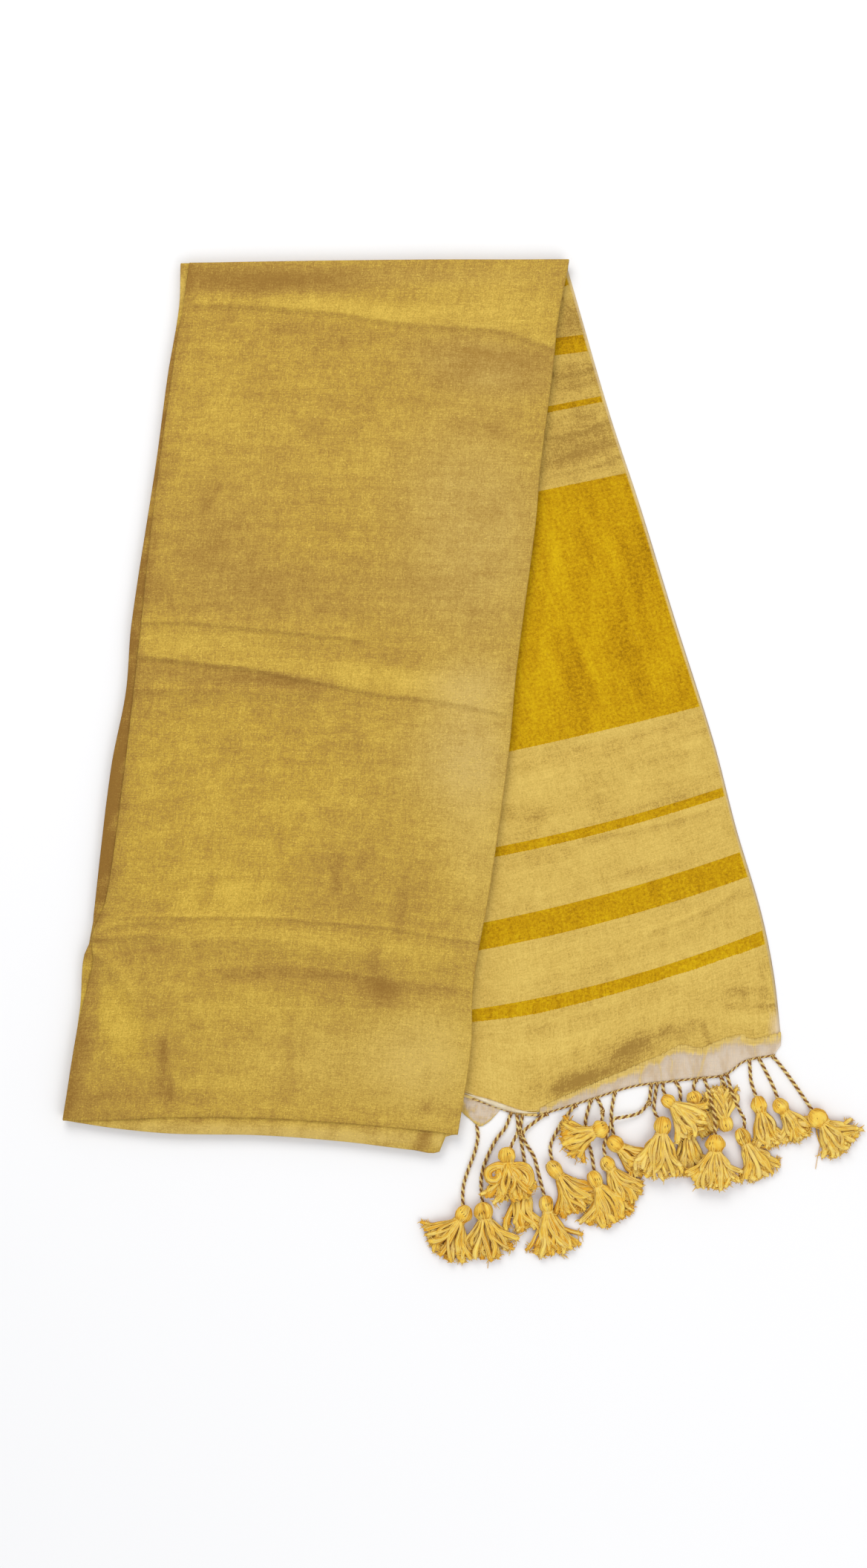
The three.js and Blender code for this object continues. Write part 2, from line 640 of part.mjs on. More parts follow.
// The tassels, from the left of the hem. hem is where the cord leaves the hem, and via its way from there.
// aim is the skirt's direction in degrees from +X, spread its half angle, reach its length from the
// middle of the head, and rise how far the skirt lies over what is below it
const TASSELS = [
  { start: at(12.5, -274.7), via: [at(13.4, -281.5), at(11, -293.4), at(6.2, -306.3), at(2.2, -320.3)],
    head: at(2.2, -339.9, 5.2), width: 13, length: 14, height: 9.6,
    aim: -125, spread: 33, reach: 38, rise: 0, locks: 10 },
  { hem: 38.5, via: [at(34.2, -274.8), at(27.7, -283.1), at(22.1, -293.4), at(17.6, -304.5), at(15.7, -316)],
    head: at(17.4, -338, 5.2), width: 15, length: 14, height: 9.6,
    aim: -79, spread: 26, reach: 40, rise: 0, locks: 9 },
  { hem: 43, via: [at(41, -277.2, 2.6), at(37.3, -285.5, 5)],
    head: at(35.3, -295.1, 8.8), width: 13.6, length: 12.5, height: 9,
    aim: -86, spread: 38, reach: 38, rise: 5.6, locks: 11 },
  { hem: 47, via: [at(45.4, -278.3), at(47, -290.6), at(48.4, -300)],
    head: at(46.5, -315.3, 3), width: 12, length: 12, height: 5.2,
    aim: -90, spread: 9, reach: 41, rise: 0, locks: 6 },
  { hem: 65.5, via: [at(57.1, -271), at(50.8, -279), at(53.8, -288.3), at(57.1, -298.5), at(59.2, -309.7)],
    head: at(65, -332.4, 5), width: 11.5, length: 13, height: 9.2,
    aim: -86, spread: 23, reach: 43, rise: 0, locks: 9 },
  { hem: 87.4, via: [at(79, -267.7), at(71.7, -280), at(68, -291)],
    head: at(71.4, -306.3, 5), width: 11.5, length: 15, height: 9.2,
    aim: -64, spread: 15, reach: 39, rise: 0, locks: 8 },
  { hem: 103.6, via: [at(106.6, -259, 2.4), at(107.6, -264, 5)],
    head: at(105, -275, 9), width: 12.6, length: 12.6, height: 9,
    aim: -165, spread: 28, reach: 33, rise: 4.2, locks: 9 },
  { hem: 117, via: [at(115, -258.2), at(114.2, -266.6), at(114.8, -274)],
    head: at(117, -286.7, 5), width: 12.4, length: 13.5, height: 9.2,
    aim: -36, spread: 18, reach: 30, rise: 0, locks: 7 },
  { hem: 144.4, via: [at(142.5, -255), at(135.5, -263.4, 2.4), at(123.2, -266.6, 4.4), at(116, -268, 5.2),
      at(112.6, -274, 6.8), at(109.8, -282, 7.2), at(108.4, -290, 5.5)],
    head: at(111.2, -302, 5), width: 11.4, length: 12, height: 9,
    aim: -58, spread: 9, reach: 39, rise: 0, locks: 6 },
  { hem: 99, via: [at(96.5, -262), at(94.6, -271), at(95.6, -282), at(98.4, -291), at(100.2, -300)],
    head: at(101.6, -313.8, 5), width: 11.6, length: 13.6, height: 9.2,
    aim: -80, spread: 15, reach: 41, rise: 0, locks: 8 },
  { hem: 148.8, via: [at(147, -254), at(146.6, -262, 3)],
    head: at(152.4, -273, 7), width: 13.4, length: 14, height: 9.4,
    aim: -98, spread: 27, reach: 41, rise: 5.4, locks: 10 },
  { hem: 153.4, via: [at(153.2, -246, 4)],
    head: at(156.8, -254.4, 7.4), width: 10.6, length: 11, height: 8,
    aim: -43, spread: 19, reach: 35, rise: 5.6, locks: 8 },
  { hem: 178.6, via: [at(176.6, -243)],
    head: at(176.6, -252.2, 4), width: 11.6, length: 10, height: 7,
    aim: -66, spread: 12, reach: 29, rise: 0, locks: 5 },
  { hem: 163, via: [at(166.2, -246.5), at(166.4, -258)],
    head: at(170, -273.8, 3), width: 11, length: 12, height: 5,
    aim: -86, spread: 13, reach: 42, rise: 0, locks: 6 },
  { hem: 184.6, via: [at(187, -246, 5), at(189.6, -256, 8.6), at(191.6, -266, 9.4)],
    head: at(191.8, -286.2, 10.2), width: 15, length: 14, height: 9.2,
    aim: -90, spread: 32, reach: 38, rise: 5.6, locks: 10 },
  { hem: 197, via: [at(200, -243), at(200.6, -256)],
    head: at(200.4, -271.4, 3.9), width: 11.4, length: 12, height: 7,
    aim: 80, spread: 30, reach: 28, rise: 0, locks: 8 },
  { hem: 201.6, via: [at(203.6, -243, 6), at(206.6, -252, 7.4), at(211, -262, 7), at(214.4, -268.5, 5)],
    head: at(213.4, -281.7, 5), width: 11.4, length: 14, height: 9,
    aim: -79, spread: 19, reach: 36, rise: 0, locks: 8 },
  { hem: 218.6, via: [at(219.2, -231.3), at(220, -240.2)],
    head: at(225.7, -257.6, 5), width: 11.8, length: 13.6, height: 9.2,
    aim: -79, spread: 13, reach: 35, rise: 0, locks: 7 },
  { hem: 226, via: [at(230.7, -231.8), at(236.3, -243)],
    head: at(241.9, -258.7, 5), width: 12, length: 13, height: 9.2,
    aim: -62, spread: 23, reach: 31, rise: 0, locks: 8 },
  { hem: 236.4, via: [at(245.3, -231.8), at(254.2, -244.2)],
    head: at(269.9, -267.5, 5.4), width: 15, length: 15, height: 10,
    aim: -50, spread: 36, reach: 32, rise: 0, locks: 10 },
];

// Way of a tassel's cord, from just outside the hem cord to inside the head
function cordWay({ start, hem, via, head }) {
  if (start) return [start, ...via, head];
  const onHem = hemCordPoint(hem);
  const towards = via[0].clone().sub(onHem).normalize();
  const angle = towards.angleTo(hemDirection(hem));
  const nearRim = TASSEL_CORD.radius * Math.abs(Math.cos(angle));
  const clear = (HEM_CORD.radius + SEAM + 0.8 * nearRim) / Math.sin(angle);
  return [onHem.addScaledVector(towards, clear).setZ(CORD_REST), ...via, head];
}

// Points of one lock: out of the head, in at the neck, out again along the fan, down to just above the floor
function lockPoints({ head, length, width, aim, spread, reach, rise, locks, height }, k) {
  const share = (2 * k) / (locks - 1) - 1;
  const aimed = new THREE.Vector3(Math.cos(radians(aim)), Math.sin(radians(aim)), 0);
  const sideways = new THREE.Vector3(-aimed.y, aimed.x, 0);
  const angle = radians(aim + spread * share);
  const fanned = new THREE.Vector3(Math.cos(angle), Math.sin(angle), 0);
  const uneven = 1 + 0.05 * Math.sin(k * 2.7 + head.x) - 0.07 * share * share;
  const upperTier = k % 2 === 1;
  const lowest = rise + (upperTier ? TIERS.upper : TIERS.lower);
  const neck = head.clone()
    .addScaledVector(aimed, length * NECK.along)
    .addScaledVector(sideways, share * width * NECK.spread);
  neck.z = lerp(head.z, rise + height * NECK.height, 0.7);
  const end = head.clone().addScaledVector(fanned, reach * uneven).setZ(lowest);
  const middle = neck.clone().lerp(end, 0.5).addScaledVector(sideways, share * 1.6);
  middle.z = lowest + TIERS.crest;
  const root = head.clone().lerp(neck, 0.3);
  return [root, neck, middle, end];
}

// A tassel: its cord, its head and its locks joined in one solid
function makeTassel(tassel) {
  const way = cordWay(tassel);
  const steps = Math.max(5, Math.round(way.length * 1.6));
  let solid = solidOf(tube(way, TASSEL_CORD.radius, TASSEL_CORD.sides, steps));
  const ball = new THREE.SphereGeometry(0.5, 8, 5);
  ball.scale(tassel.length, tassel.width, tassel.height);
  ball.rotateZ(radians(tassel.aim));
  ball.translate(tassel.head.x, tassel.head.y, tassel.head.z);
  solid = solid.add(solidOf(ball));
  for (let k = 0; k < tassel.locks; k += 1) {
    const points = lockPoints(tassel, k);
    solid = solid.add(solidOf(makeLock(points, [LOCK.root, LOCK.root, LOCK.middle, LOCK.end])));
  }
  return geometryOf(solid);
}

const gold = new THREE.MeshStandardMaterial({ color: 0xc9a24a, roughness: 0.5, metalness: 0.35 });
const shadedGold = new THREE.MeshStandardMaterial({ color: 0xb08a3c, roughness: 0.55, metalness: 0.3 });
const panelGold = new THREE.MeshStandardMaterial({ color: 0xcfae5c, roughness: 0.5, metalness: 0.35 });
const sheer = new THREE.MeshStandardMaterial({ color: 0xd9c6a4, roughness: 0.8, metalness: 0 });
const twist = new THREE.MeshStandardMaterial({ color: 0x9a6a24, roughness: 0.7, metalness: 0.1 });
const cotton = new THREE.MeshStandardMaterial({ color: 0xdaa93c, roughness: 0.9, metalness: 0 });

const saree = new THREE.Group();

function addPart(name, geometry, material) {
  const mesh = new THREE.Mesh(geometry, material);
  mesh.name = name;
  saree.add(mesh);
}

addPart('folded_stack', makeFoldedStack(), shadedGold);
addPart('second_layer', makeSecondLayer(), shadedGold);
addPart('top_layer', makeTopLayer(), gold);
addPart('end_panel', makeEndPanel(), panelGold);
addPart('end_strip', makeEndStrip(), sheer);
addPart('corner_flap', makeCornerFlap(), sheer);
addPart('hem_cord', makeHemCord(), twist);
TASSELS.forEach((tassel, k) => {
  addPart(`tassel_${String(k + 1).padStart(2, '0')}`, makeTassel(tassel), cotton);
});

// The origin is below the middle of the whole, on the surface it lies on
const box = new THREE.Box3().setFromObject(saree);
const middle = box.getCenter(new THREE.Vector3());
saree.position.set(-middle.x, -middle.y, -box.min.z);

export default saree;
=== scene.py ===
"""A folded saree of gold tissue cloth, its striped end panel fanned out, with tassels along the hem."""

import math
import random
from collections import namedtuple

import bpy
import numpy as np
from bpy.props import FloatProperty, FloatVectorProperty, IntProperty, PointerProperty
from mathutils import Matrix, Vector


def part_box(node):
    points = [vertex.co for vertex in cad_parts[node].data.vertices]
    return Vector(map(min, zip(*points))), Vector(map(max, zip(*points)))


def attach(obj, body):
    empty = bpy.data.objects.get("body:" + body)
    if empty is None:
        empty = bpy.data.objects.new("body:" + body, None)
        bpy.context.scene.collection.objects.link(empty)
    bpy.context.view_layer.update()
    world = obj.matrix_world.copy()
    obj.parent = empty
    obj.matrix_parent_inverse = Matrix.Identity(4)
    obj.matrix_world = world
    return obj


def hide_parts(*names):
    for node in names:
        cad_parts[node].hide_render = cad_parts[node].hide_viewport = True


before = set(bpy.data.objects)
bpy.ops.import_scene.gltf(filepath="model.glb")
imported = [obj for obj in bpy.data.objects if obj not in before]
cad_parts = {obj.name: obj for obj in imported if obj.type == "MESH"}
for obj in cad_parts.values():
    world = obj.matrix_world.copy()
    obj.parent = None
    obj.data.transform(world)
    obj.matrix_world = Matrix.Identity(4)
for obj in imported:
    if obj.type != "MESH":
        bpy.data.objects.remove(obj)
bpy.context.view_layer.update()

bl_info = {
    "name": "Folded saree",
    "version": (1, 0, 0),
    "blender": (4, 5, 0),
    "location": "3D View > Sidebar > Saree",
    "description": "Builds a folded saree with a fanned end panel and tassels around its frame",
    "category": "Add Mesh",
}

MM = 0.001
# The frame's origin is under the middle of the whole; the places below are measured before that move
TO_FRAME = (0.144, -0.927)
UP = np.array([0, 0, 1.0])
CREASE_SHINE = 0.62
CREST_SOFTNESS = 1.3


def colour(hexadecimal, alpha=1.0):
    """Linear colour of a six-digit display colour"""
    channels = [int(hexadecimal[k : k + 2], 16) / 255 for k in (0, 2, 4)]
    linear = [c / 12.92 if c <= 0.04045 else ((c + 0.055) / 1.055) ** 2.4 for c in channels]
    return (*linear, alpha)


def length_property(name, description, millimetres):
    return FloatProperty(
        name=name, description=description, default=millimetres * MM, min=0.0, unit="LENGTH"
    )


def colour_property(name, description, hexadecimal):
    return FloatVectorProperty(
        name=name, description=description, default=colour(hexadecimal), size=4, subtype="COLOR"
    )


class SareeSizes(bpy.types.PropertyGroup):
    """Sizes of the folded saree that a user would change"""

    cloth_wall: length_property("Cloth thickness", "Thickness of one layer", 0.3)
    thin_wall: length_property("Thin cloth", "Thickness of a sheer or hidden layer", 0.12)
    fold_radius: length_property("Fold radius", "Radius of the rolled edge of a layer", 0.8)
    hidden_layers: IntProperty(
        name="Hidden layers", description="Folded layers under the second one", default=12, min=2
    )
    cord_ply: length_property("Cord ply radius", "Radius of one of a cord's two plies", 0.76)
    cord_pitch: length_property("Cord twist", "Length of one whole turn of a cord", 5.8)
    yarn_radius: length_property("Yarn radius", "Radius of one tassel yarn", 0.42)
    locks: IntProperty(name="Locks", description="Locks in a skirt of middling width", default=30)


class SareeColours(bpy.types.PropertyGroup):
    """Colours of the saree's yarns"""

    brown: colour_property("Fold shade", "Tissue that is turned from the light", "936C30")
    tan: colour_property("Tissue tan", "Tissue where the warp shows", "AC873E")
    gold: colour_property("Tissue gold", "Tissue where the gold weft shows", "C29F3F")
    bright: colour_property("Tissue sheen", "Tissue that catches the light", "DDBB50")
    matte: colour_property("Matte tissue", "Paler tissue with less sheen", "CFB26C")
    panel_shade: colour_property("Panel shade", "End panel in a hollow", "A27F3A")
    panel_tan: colour_property("Panel tan", "Plain ground of the end panel", "D0AE55")
    panel_gold: colour_property("Panel sheen", "End panel that catches the light", "E4C568")
    stripe_deep: colour_property("Stripe shade", "Mustard stripe in shade", "9C7000")
    stripe: colour_property("Stripe", "Mustard-gold stripe", "C29204")
    stripe_bright: colour_property("Stripe sheen", "Mustard stripe that catches the light", "DDB60E")
    sheer: colour_property("Sheer end", "Warp and weft with no gold", "E8D3B6")
    # Painted shade of the sheer cloth in its gathers, where it is also denser
    sheer_fold_shade: colour_property("Sheer fold", "Sheer cloth where it is gathered", "CDB086")
    selvedge: colour_property("Selvedge", "Pale edge of the cloth", "DDC8A0")
    selvedge_line: colour_property("Selvedge line", "Mauve-grey outer threads", "A98E7E")
    cord_brown: colour_property("Cord brown", "Brown ply of the cords", "875722")
    cord_gold: colour_property("Cord gold", "Pale gold ply of the cords", "E8C674")
    cotton_light: colour_property("Cotton light", "Lightest tassel yarn", "FCDD66")
    cotton: colour_property("Cotton", "Tassel yarn", "F0BA3A")
    # The deep yarn also stands for painted shade on the lowest locks of the left tassels
    cotton_deep: colour_property("Cotton deep", "Deepest tassel yarn", "DFA02A")
    # Painted shade of the cotton between the yarns and on their steep sides
    cotton_crevice_shade: colour_property("Cotton crevice", "Cotton deep between the yarns", "C27E18")
    cotton_pale: colour_property("Cotton pale", "Palest patches of the light yarn", "F6D880")
    brown_light: colour_property("Cord brown, light", "Lighter patches of the brown ply", "94642C")
    gold_light: colour_property("Cord gold, light", "Lighter patches of the gold ply", "EFD88E")
    selvedge_light: colour_property("Selvedge, light", "Lighter patches of sheer yarn", "F3E8CC")
    glint: colour_property("Glint", "Gold thread that catches the light", "F6DC6A")


def sizes():
    return bpy.context.scene.saree_sizes


def colours():
    return bpy.context.scene.saree_colours


# Tables: columns are named by these tuples, in millimetres unless a note says otherwise
Weft = namedtuple("Weft", "down lift sag")
Crease = namedtuple("Crease", "height above below bright dark fade_in fade_out way")
Patch = namedtuple("Patch", "x y half_x half_y turn tone matte")
Stripe = namedtuple("Stripe", "down width")
Place = namedtuple("Place", "x y")
ZariLine = namedtuple("ZariLine", "x half slant gold")
Tassel = namedtuple("Tassel", "start via head width length height aim spread reach rise")

# The whole cloth, 1150 by 5300, is folded in four across and in eight along
STACK_WIDTH, STACK_LENGTH = 1150 / 4, 5300 / 8
TOP_LEFT = (-211, 377.5)
LEAN_LEFT, LEAN_TOP, LEAN_BOTTOM = 7.84, -0.3, 2.1
TOP_END, BOTTOM_END, LEFT_SIDE = STACK_WIDTH * 1.019, STACK_WIDTH * 1.038, STACK_LENGTH * 0.9845

# A fraction of the way along each edge, and how far it bows out of its straight line there
LEFT_BOW = [
    (0, 0), (0.05, -3.3), (0.13, -1.9), (0.23, -2.2), (0.42, -0.4), (0.5, -3.2),
    (0.59, 0), (0.76, -2.1), (0.786, -3), (0.812, 1), (0.87, -1.6), (1, 0),
]
TOP_LAYER_LEFT_BOW = [
    (0, -6.7), (0.05, -6.5), (0.1, -5.5), (0.3, -5.5), (0.45, -8.5), (0.6, -10.5),
    (0.74, -10), (0.786, -3.4), (0.815, -6.6), (0.89, -2), (1, -0.4),
]
RIGHT_BOW = [
    (0, 0), (0.07, -2.7), (0.12, -1.8), (0.24, -1.7), (0.3, 0), (0.47, -0.3),
    (0.56, 1.7), (0.72, 0.4), (0.83, -2.8), (0.9, 1.5), (1, 0),
]
TOP_END_BOW = [(0, 0), (0.5, 0.8), (1, 0)]
FOLD_LINE_BOW = [
    (0, 0), (0.1, -1.2), (0.28, -5.4), (0.5, -7.2), (0.71, -5.7), (0.93, -2),
    (1, 0),
]
LOWER_LIP_BOW = [
    (0, 0), (0.135, 4.6), (0.28, 6.9), (0.5, 5.6), (0.71, 7.9), (0.89, 12.3),
    (0.957, 12.9), (0.9715, 1.4), (0.986, 0), (1, -0.6),
]
SELVEDGE_BOW = [
    (0, 0), (0.19, 1.2), (0.31, 4.8), (0.46, 7.4), (0.62, 11), (0.73, 9.8),
    (0.84, 11), (0.92, 7.6), (1, 0),
]
SELVEDGE_TOP, SELVEDGE_BOTTOM = Place(80.5, 377), Place(242.5, -205)
# Where the gold of the panel thins out into the sheer end
SELVEDGE_FOOT = Place(244, -200)

# Weft lines of the end panel: how far down the stack's edge each starts, how much higher it ends
# at the selvedge, and how far it sags between
PANEL_TOP = 366
PANEL_TUCK = 12
PANEL_WEFTS = [
    Weft(0, 9, 0), Weft(52, 4.6, 0), Weft(100.3, 10.9, 0), Weft(162.2, 16.8, 0), Weft(211, 25, 0),
    Weft(260, 30, 0.4), Weft(310, 34, 0.7), Weft(359.3, 37.5, 1), Weft(434.9, 48.7, 3.7),
    Weft(498.7, 57.7, 4.8), Weft(557.5, 62.7, 8.4),
]
STRIPES = [
    Stripe(8, 5), Stripe(52, 13), Stripe(100.3, 4.9), Stripe(260.8, 197), Stripe(434.9, 7.6),
    Stripe(498.7, 21), Stripe(557.5, 8.6),
]
HEM_LINE = [
    (-14, -244), (6.7, -250.9), (24, -257), (42, -263), (57, -264.3),
    (74, -260), (102, -251.4), (117, -246.4), (134, -242), (162, -238.6),
    (183, -236.3), (200, -233.8), (214, -224), (238, -219),
]
GOLD_WEFT_END = [
    (-14, -243.5), (6.7, -250.4), (24, -256.5), (42, -262.5),
    (57, -263.8), (66, -259.5), (90, -248.8), (118, -237), (137, -228.5),
    (151, -223), (167, -215.2), (182, -217.3), (196, -211.7),
    (213, -207.4), (220, -210.6), (243, -205.5),
]
SEAM = 0.3
HEM_CORD_RADIUS, HEM_CORD_GAP, HEM_CORD_START = 0.9, 1.1, 9

# Creases of the top layer, left to right or top to bottom. height is that of the crest (a trough is
# below 0), above and below its widths to the left and right of the way, bright and dark how much
# more or less it shines on those sides, and the fades are over what length it dies away
TOP_CREASES = [Crease(*row) for row in (
    # under the top fold
    (0.9, 9, 2.2, 0.45, 0.5, 2, 4, [(-203.3, 346.1), (-162.4, 345), (-109.2, 341.6), (-40.9, 331.5),
     (28, 326.5), (72.2, 313)]),
    (-0.35, 6, 7, 0, 0.25, 8, 6, [(-179.2, 336.6), (-100.8, 331), (-16.8, 317.5), (70.6, 306.3)]),
    (0.4, 10, 10, 0.2, 0, 30, 6, [(-67.2, 355), (0, 360.6), (73.9, 356.7)]),
    # slanting wrinkles of the upper half
    (-0.5, 8, 5, 0.05, 0.4, 25, 30, [(-112, 280), (-78.4, 271), (-38.1, 259.3)]),
    (0.3, 2, 1.6, 0.25, 0.3, 8, 12, [(-97.4, 264.3), (-67.2, 259.8), (-39.2, 255.4)]),
    (0.35, 3, 6, 0.15, 0.3, 15, 2, [(-12.3, 262.6), (22.4, 255.9), (62.2, 245.8)]),
    (0.3, 9, 9, 0.15, 0, 30, 20, [(-212.8, 240.2), (-123.2, 262.6), (-33.6, 240.2), (56, 217.8)]),
    (-0.5, 5, 7, 0.1, 0.35, 12, 20, [(-175.8, 217.8), (-184.8, 197.7), (-194.9, 177)]),
    (-0.5, 4, 4, 0, 0.4, 20, 10, [(-220.6, 150.6), (-222.9, 133.8), (-223.4, 115.9)]),
    # the folds across the middle
    (0.9, 4.5, 1.6, 0.4, 0.35, 0, 30, [(-247.5, 107), (-197.1, 106.4), (-165.2, 103), (-136.1, 100.2),
     (-88.5, 95.2), (-57.7, 90.7)]),
    (-0.4, 8, 8, 0, 0.3, 40, 40, [(-156.8, 91.3), (-112, 87.9), (-67.2, 82.3), (-16.8, 77.8)]),
    (1.3, 9, 1.8, 0.45, 0.5, 4, 2, [(-248.6, 82.3), (-231.3, 80.1), (-200.5, 76.7), (-152.9, 71.1),
     (-123.8, 65), (-90.7, 58.8), (-61.6, 52.6), (-20.2, 48.2), (35.8, 37.5)]),
    (0.8, 1.6, 5, 0.2, 0.3, 0, 25, [(-253.1, 56.6), (-202.7, 56.6), (-162.4, 55.4), (-123.2, 54.9),
     (-91.8, 56.6)]),
    (0.4, 1.5, 1.5, 0.3, 0.2, 8, 20, [(-230.7, 72.2), (-232.4, 49.8), (-234.1, 21.8)]),
    (-0.35, 5, 4, 0, 0.3, 15, 15, [(13.4, 136.6), (11.8, 111.4), (7.3, 90.2)]),
    (0.35, 5, 5, 0.2, 0, 20, 20, [(39.2, 173), (33.6, 128.2), (26.9, 83.4)]),
    (-0.3, 4, 4, 0, 0.3, 20, 20, [(-74.5, 47), (-75, 16.2), (-76.2, -10.6)]),
    # the lower fold line and the trough below it
    (0.8, 3, 1.3, 0.3, 0.6, 10, 2, [(-263.2, -119.3), (-254.8, -115.9), (-202.2, -115.4),
     (-145, -115.9), (-113.7, -118.2), (-86.2, -120.4), (-50.4, -123.8), (-23, -128.8), (15.7, -134.4)]),
    (0.5, 8, 8, 0.3, 0, 20, 30, [(-246.4, -137.8), (-179.2, -130.5), (-112, -136.1), (-56, -146.2)]),
    (-0.9, 9, 8, 0, 0.6, 35, 2, [(-204.4, -154), (-162.4, -152.3), (-117.6, -152.3), (-75.6, -159),
     (-44.2, -163.5), (9, -170.2)]),
    (0.5, 6, 14, 0.1, 0, 30, 20, [(-201.6, -171.4), (-123.2, -171.4), (-33.6, -185.4), (5.6, -188.2)]),
    # the fan from the notch in the left edge
    (0.7, 3, 3, 0.4, 0.3, 2, 14, [(-277.8, -130.5), (-263.2, -122.1), (-240.8, -118.7),
     (-215.6, -119.8)]),
    (0.8, 3, 3, 0.35, 0.35, 2, 18, [(-277.8, -131.6), (-257.6, -130.5), (-235.2, -128.2),
     (-201.6, -130.5)]),
    (-0.5, 3, 3, 0, 0.35, 6, 15, [(-274.4, -136.1), (-254.8, -141.1), (-232.4, -137.2),
     (-207.2, -136.1)]),
    (0.6, 4, 4, 0.4, 0.1, 3, 25, [(-280, -139.4), (-266, -149.5), (-249.2, -168.6), (-240.8, -193.8)]),
    (-0.5, 3, 4, 0, 0.35, 8, 20, [(-278.9, -151.8), (-272.2, -177), (-275.5, -207.8), (-281.1, -235.8)]),
    # upright puckers of the lower half
    (-0.5, 5.2, 3.9, 0, 0.68, 12, 12, [(-185.4, -46.5), (-187.6, -62.2), (-187, -76.2)]),
    (-0.45, 3.9, 5.2, 0, 0.59, 12, 12, [(-184.2, -76.7), (-185.4, -93), (-184.8, -109.8)]),
    (-0.5, 3.9, 3.9, 0, 0.68, 10, 10, [(-130.5, -42.6), (-133.3, -56.6), (-135.5, -72.2)]),
    (-0.45, 5.2, 5.2, 0, 0.59, 12, 20, [(-85.7, -59.4), (-89, -79), (-94.1, -108.1)]),
    (-0.45, 3.9, 3.9, 0, 0.59, 10, 10, [(-69.4, -61), (-71.7, -73.4), (-73.4, -85.7)]),
    (-0.7, 5.2, 3.9, 0.1, 1, 14, 10, [(-220.6, -198.8), (-222.3, -224.6), (-223.4, -257)]),
    (-0.6, 3.9, 5.2, 0, 0.68, 8, 8, [(-17.9, -247), (-21.8, -258.2), (-26.9, -268.2)]),
    (-0.5, 6.5, 5.2, 0, 0.68, 14, 14, [(-42, -84.6), (-40.3, -104.2), (-44.8, -130.5)]),
    (-0.5, 5.2, 6.5, 0, 0.77, 14, 10, [(-61.6, -130.5), (-60.5, -146.2), (-63.8, -161.8)]),
    (-0.3, 5.2, 5.2, 0, 0.42, 16, 16, [(-220.6, -95.8), (-222.9, -118.2), (-226.2, -146.2)]),
    (-0.35, 6.5, 5.2, 0, 0.51, 18, 18, [(-126, -196.6), (-124.3, -230.2), (-127.1, -263.8)]),
    (0.35, 6.5, 6.5, 0.2, 0, 18, 18, [(-151.2, -171.4), (-147.8, -202.2), (-150.1, -235.8)]),
    (0.3, 3, 2, 0.25, 0.1, 10, 4, [(-272.2, -263.8), (-216.7, -262.1), (-152.3, -262.6),
     (-87.9, -266.6), (-23.5, -272.2), (-4.5, -275)]),
)]
# Stretches of the top layer, as fractions of the way down, that its sharper folds lie in
TOP_FOLDED_STRETCHES = [(0.045, 0.11), (0.41, 0.52), (0.745, 0.79), (0.8, 0.84)]
# Broad areas of the top layer that shine more or less, or look more matte
TOP_PATCHES = [Patch(*row) for row in (
    (-150, 362, 75, 11, -2, -0.75, 0.1), (-60, 368, 120, 8, 0, -0.2, 0.3), (-90, 346, 70, 10, -6, 0.3, 0),
    (20, 348, 60, 20, 0, 0.3, 0.1), (20, 300, 55, 22, -10, -0.25, 0.8), (-190, 265, 45, 45, 0, 0.1, 0),
    (-100, 225, 90, 40, 0, 0.05, 0.1), (10, 180, 60, 90, 0, 0.12, 0.9),
    (-100, 130, 100, 25, 0, -0.15, 0.2), (-180, 160, 45, 50, 0, -0.2, 0.25), (-190, 92, 60, 9, 0, 0.3, 0),
    (-60, 68, 60, 10, -8, 0.45, 0), (-185, 66, 60, 8, -3, -0.36, 0.1), (-130, 62, 35, 5, -5, -0.4, 0.1),
    (10, 60, 40, 20, 0, 0.15, 0.6), (0, 10, 45, 40, 0, 0.1, 0.6), (-180, 0, 80, 45, 0, 0.1, -0.3),
    (-190, -70, 70, 45, 0, 0.2, -0.3), (15, -40, 30, 110, 4, 0.3, 0.4), (-100, -30, 60, 35, 0, 0.1, 0),
    (-90, -95, 70, 30, 0, -0.05, 0), (-180, -100, 50, 18, 0, 0.3, 0), (-70, -138, 60, 8, -4, 0.3, 0),
    (-58, -172, 14, 12, 0, -0.7, 0), (-255, -198, 14, 26, 20, 0.6, -0.4),
    (-290, -225, 10, 40, -8, -0.4, 0), (-219, -246, 4, 11, 4, -0.6, 0), (-222, -222, 3, 12, 4, -0.4, 0),
    (-270, -255, 40, 12, 0, -0.3, 0), (-160, -180, 60, 14, 0, 0.25, 0), (-70, -220, 70, 40, 0, 0, 0.3),
    (-20, -225, 45, 50, 8, 0.6, 0.5), (-120, -228, 80, 34, 0, 0.32, 0.1), (0, -20, 45, 70, 0, 0.22, 0.25),
    (-10, -262, 30, 8, -5, -0.25, 0),
)]
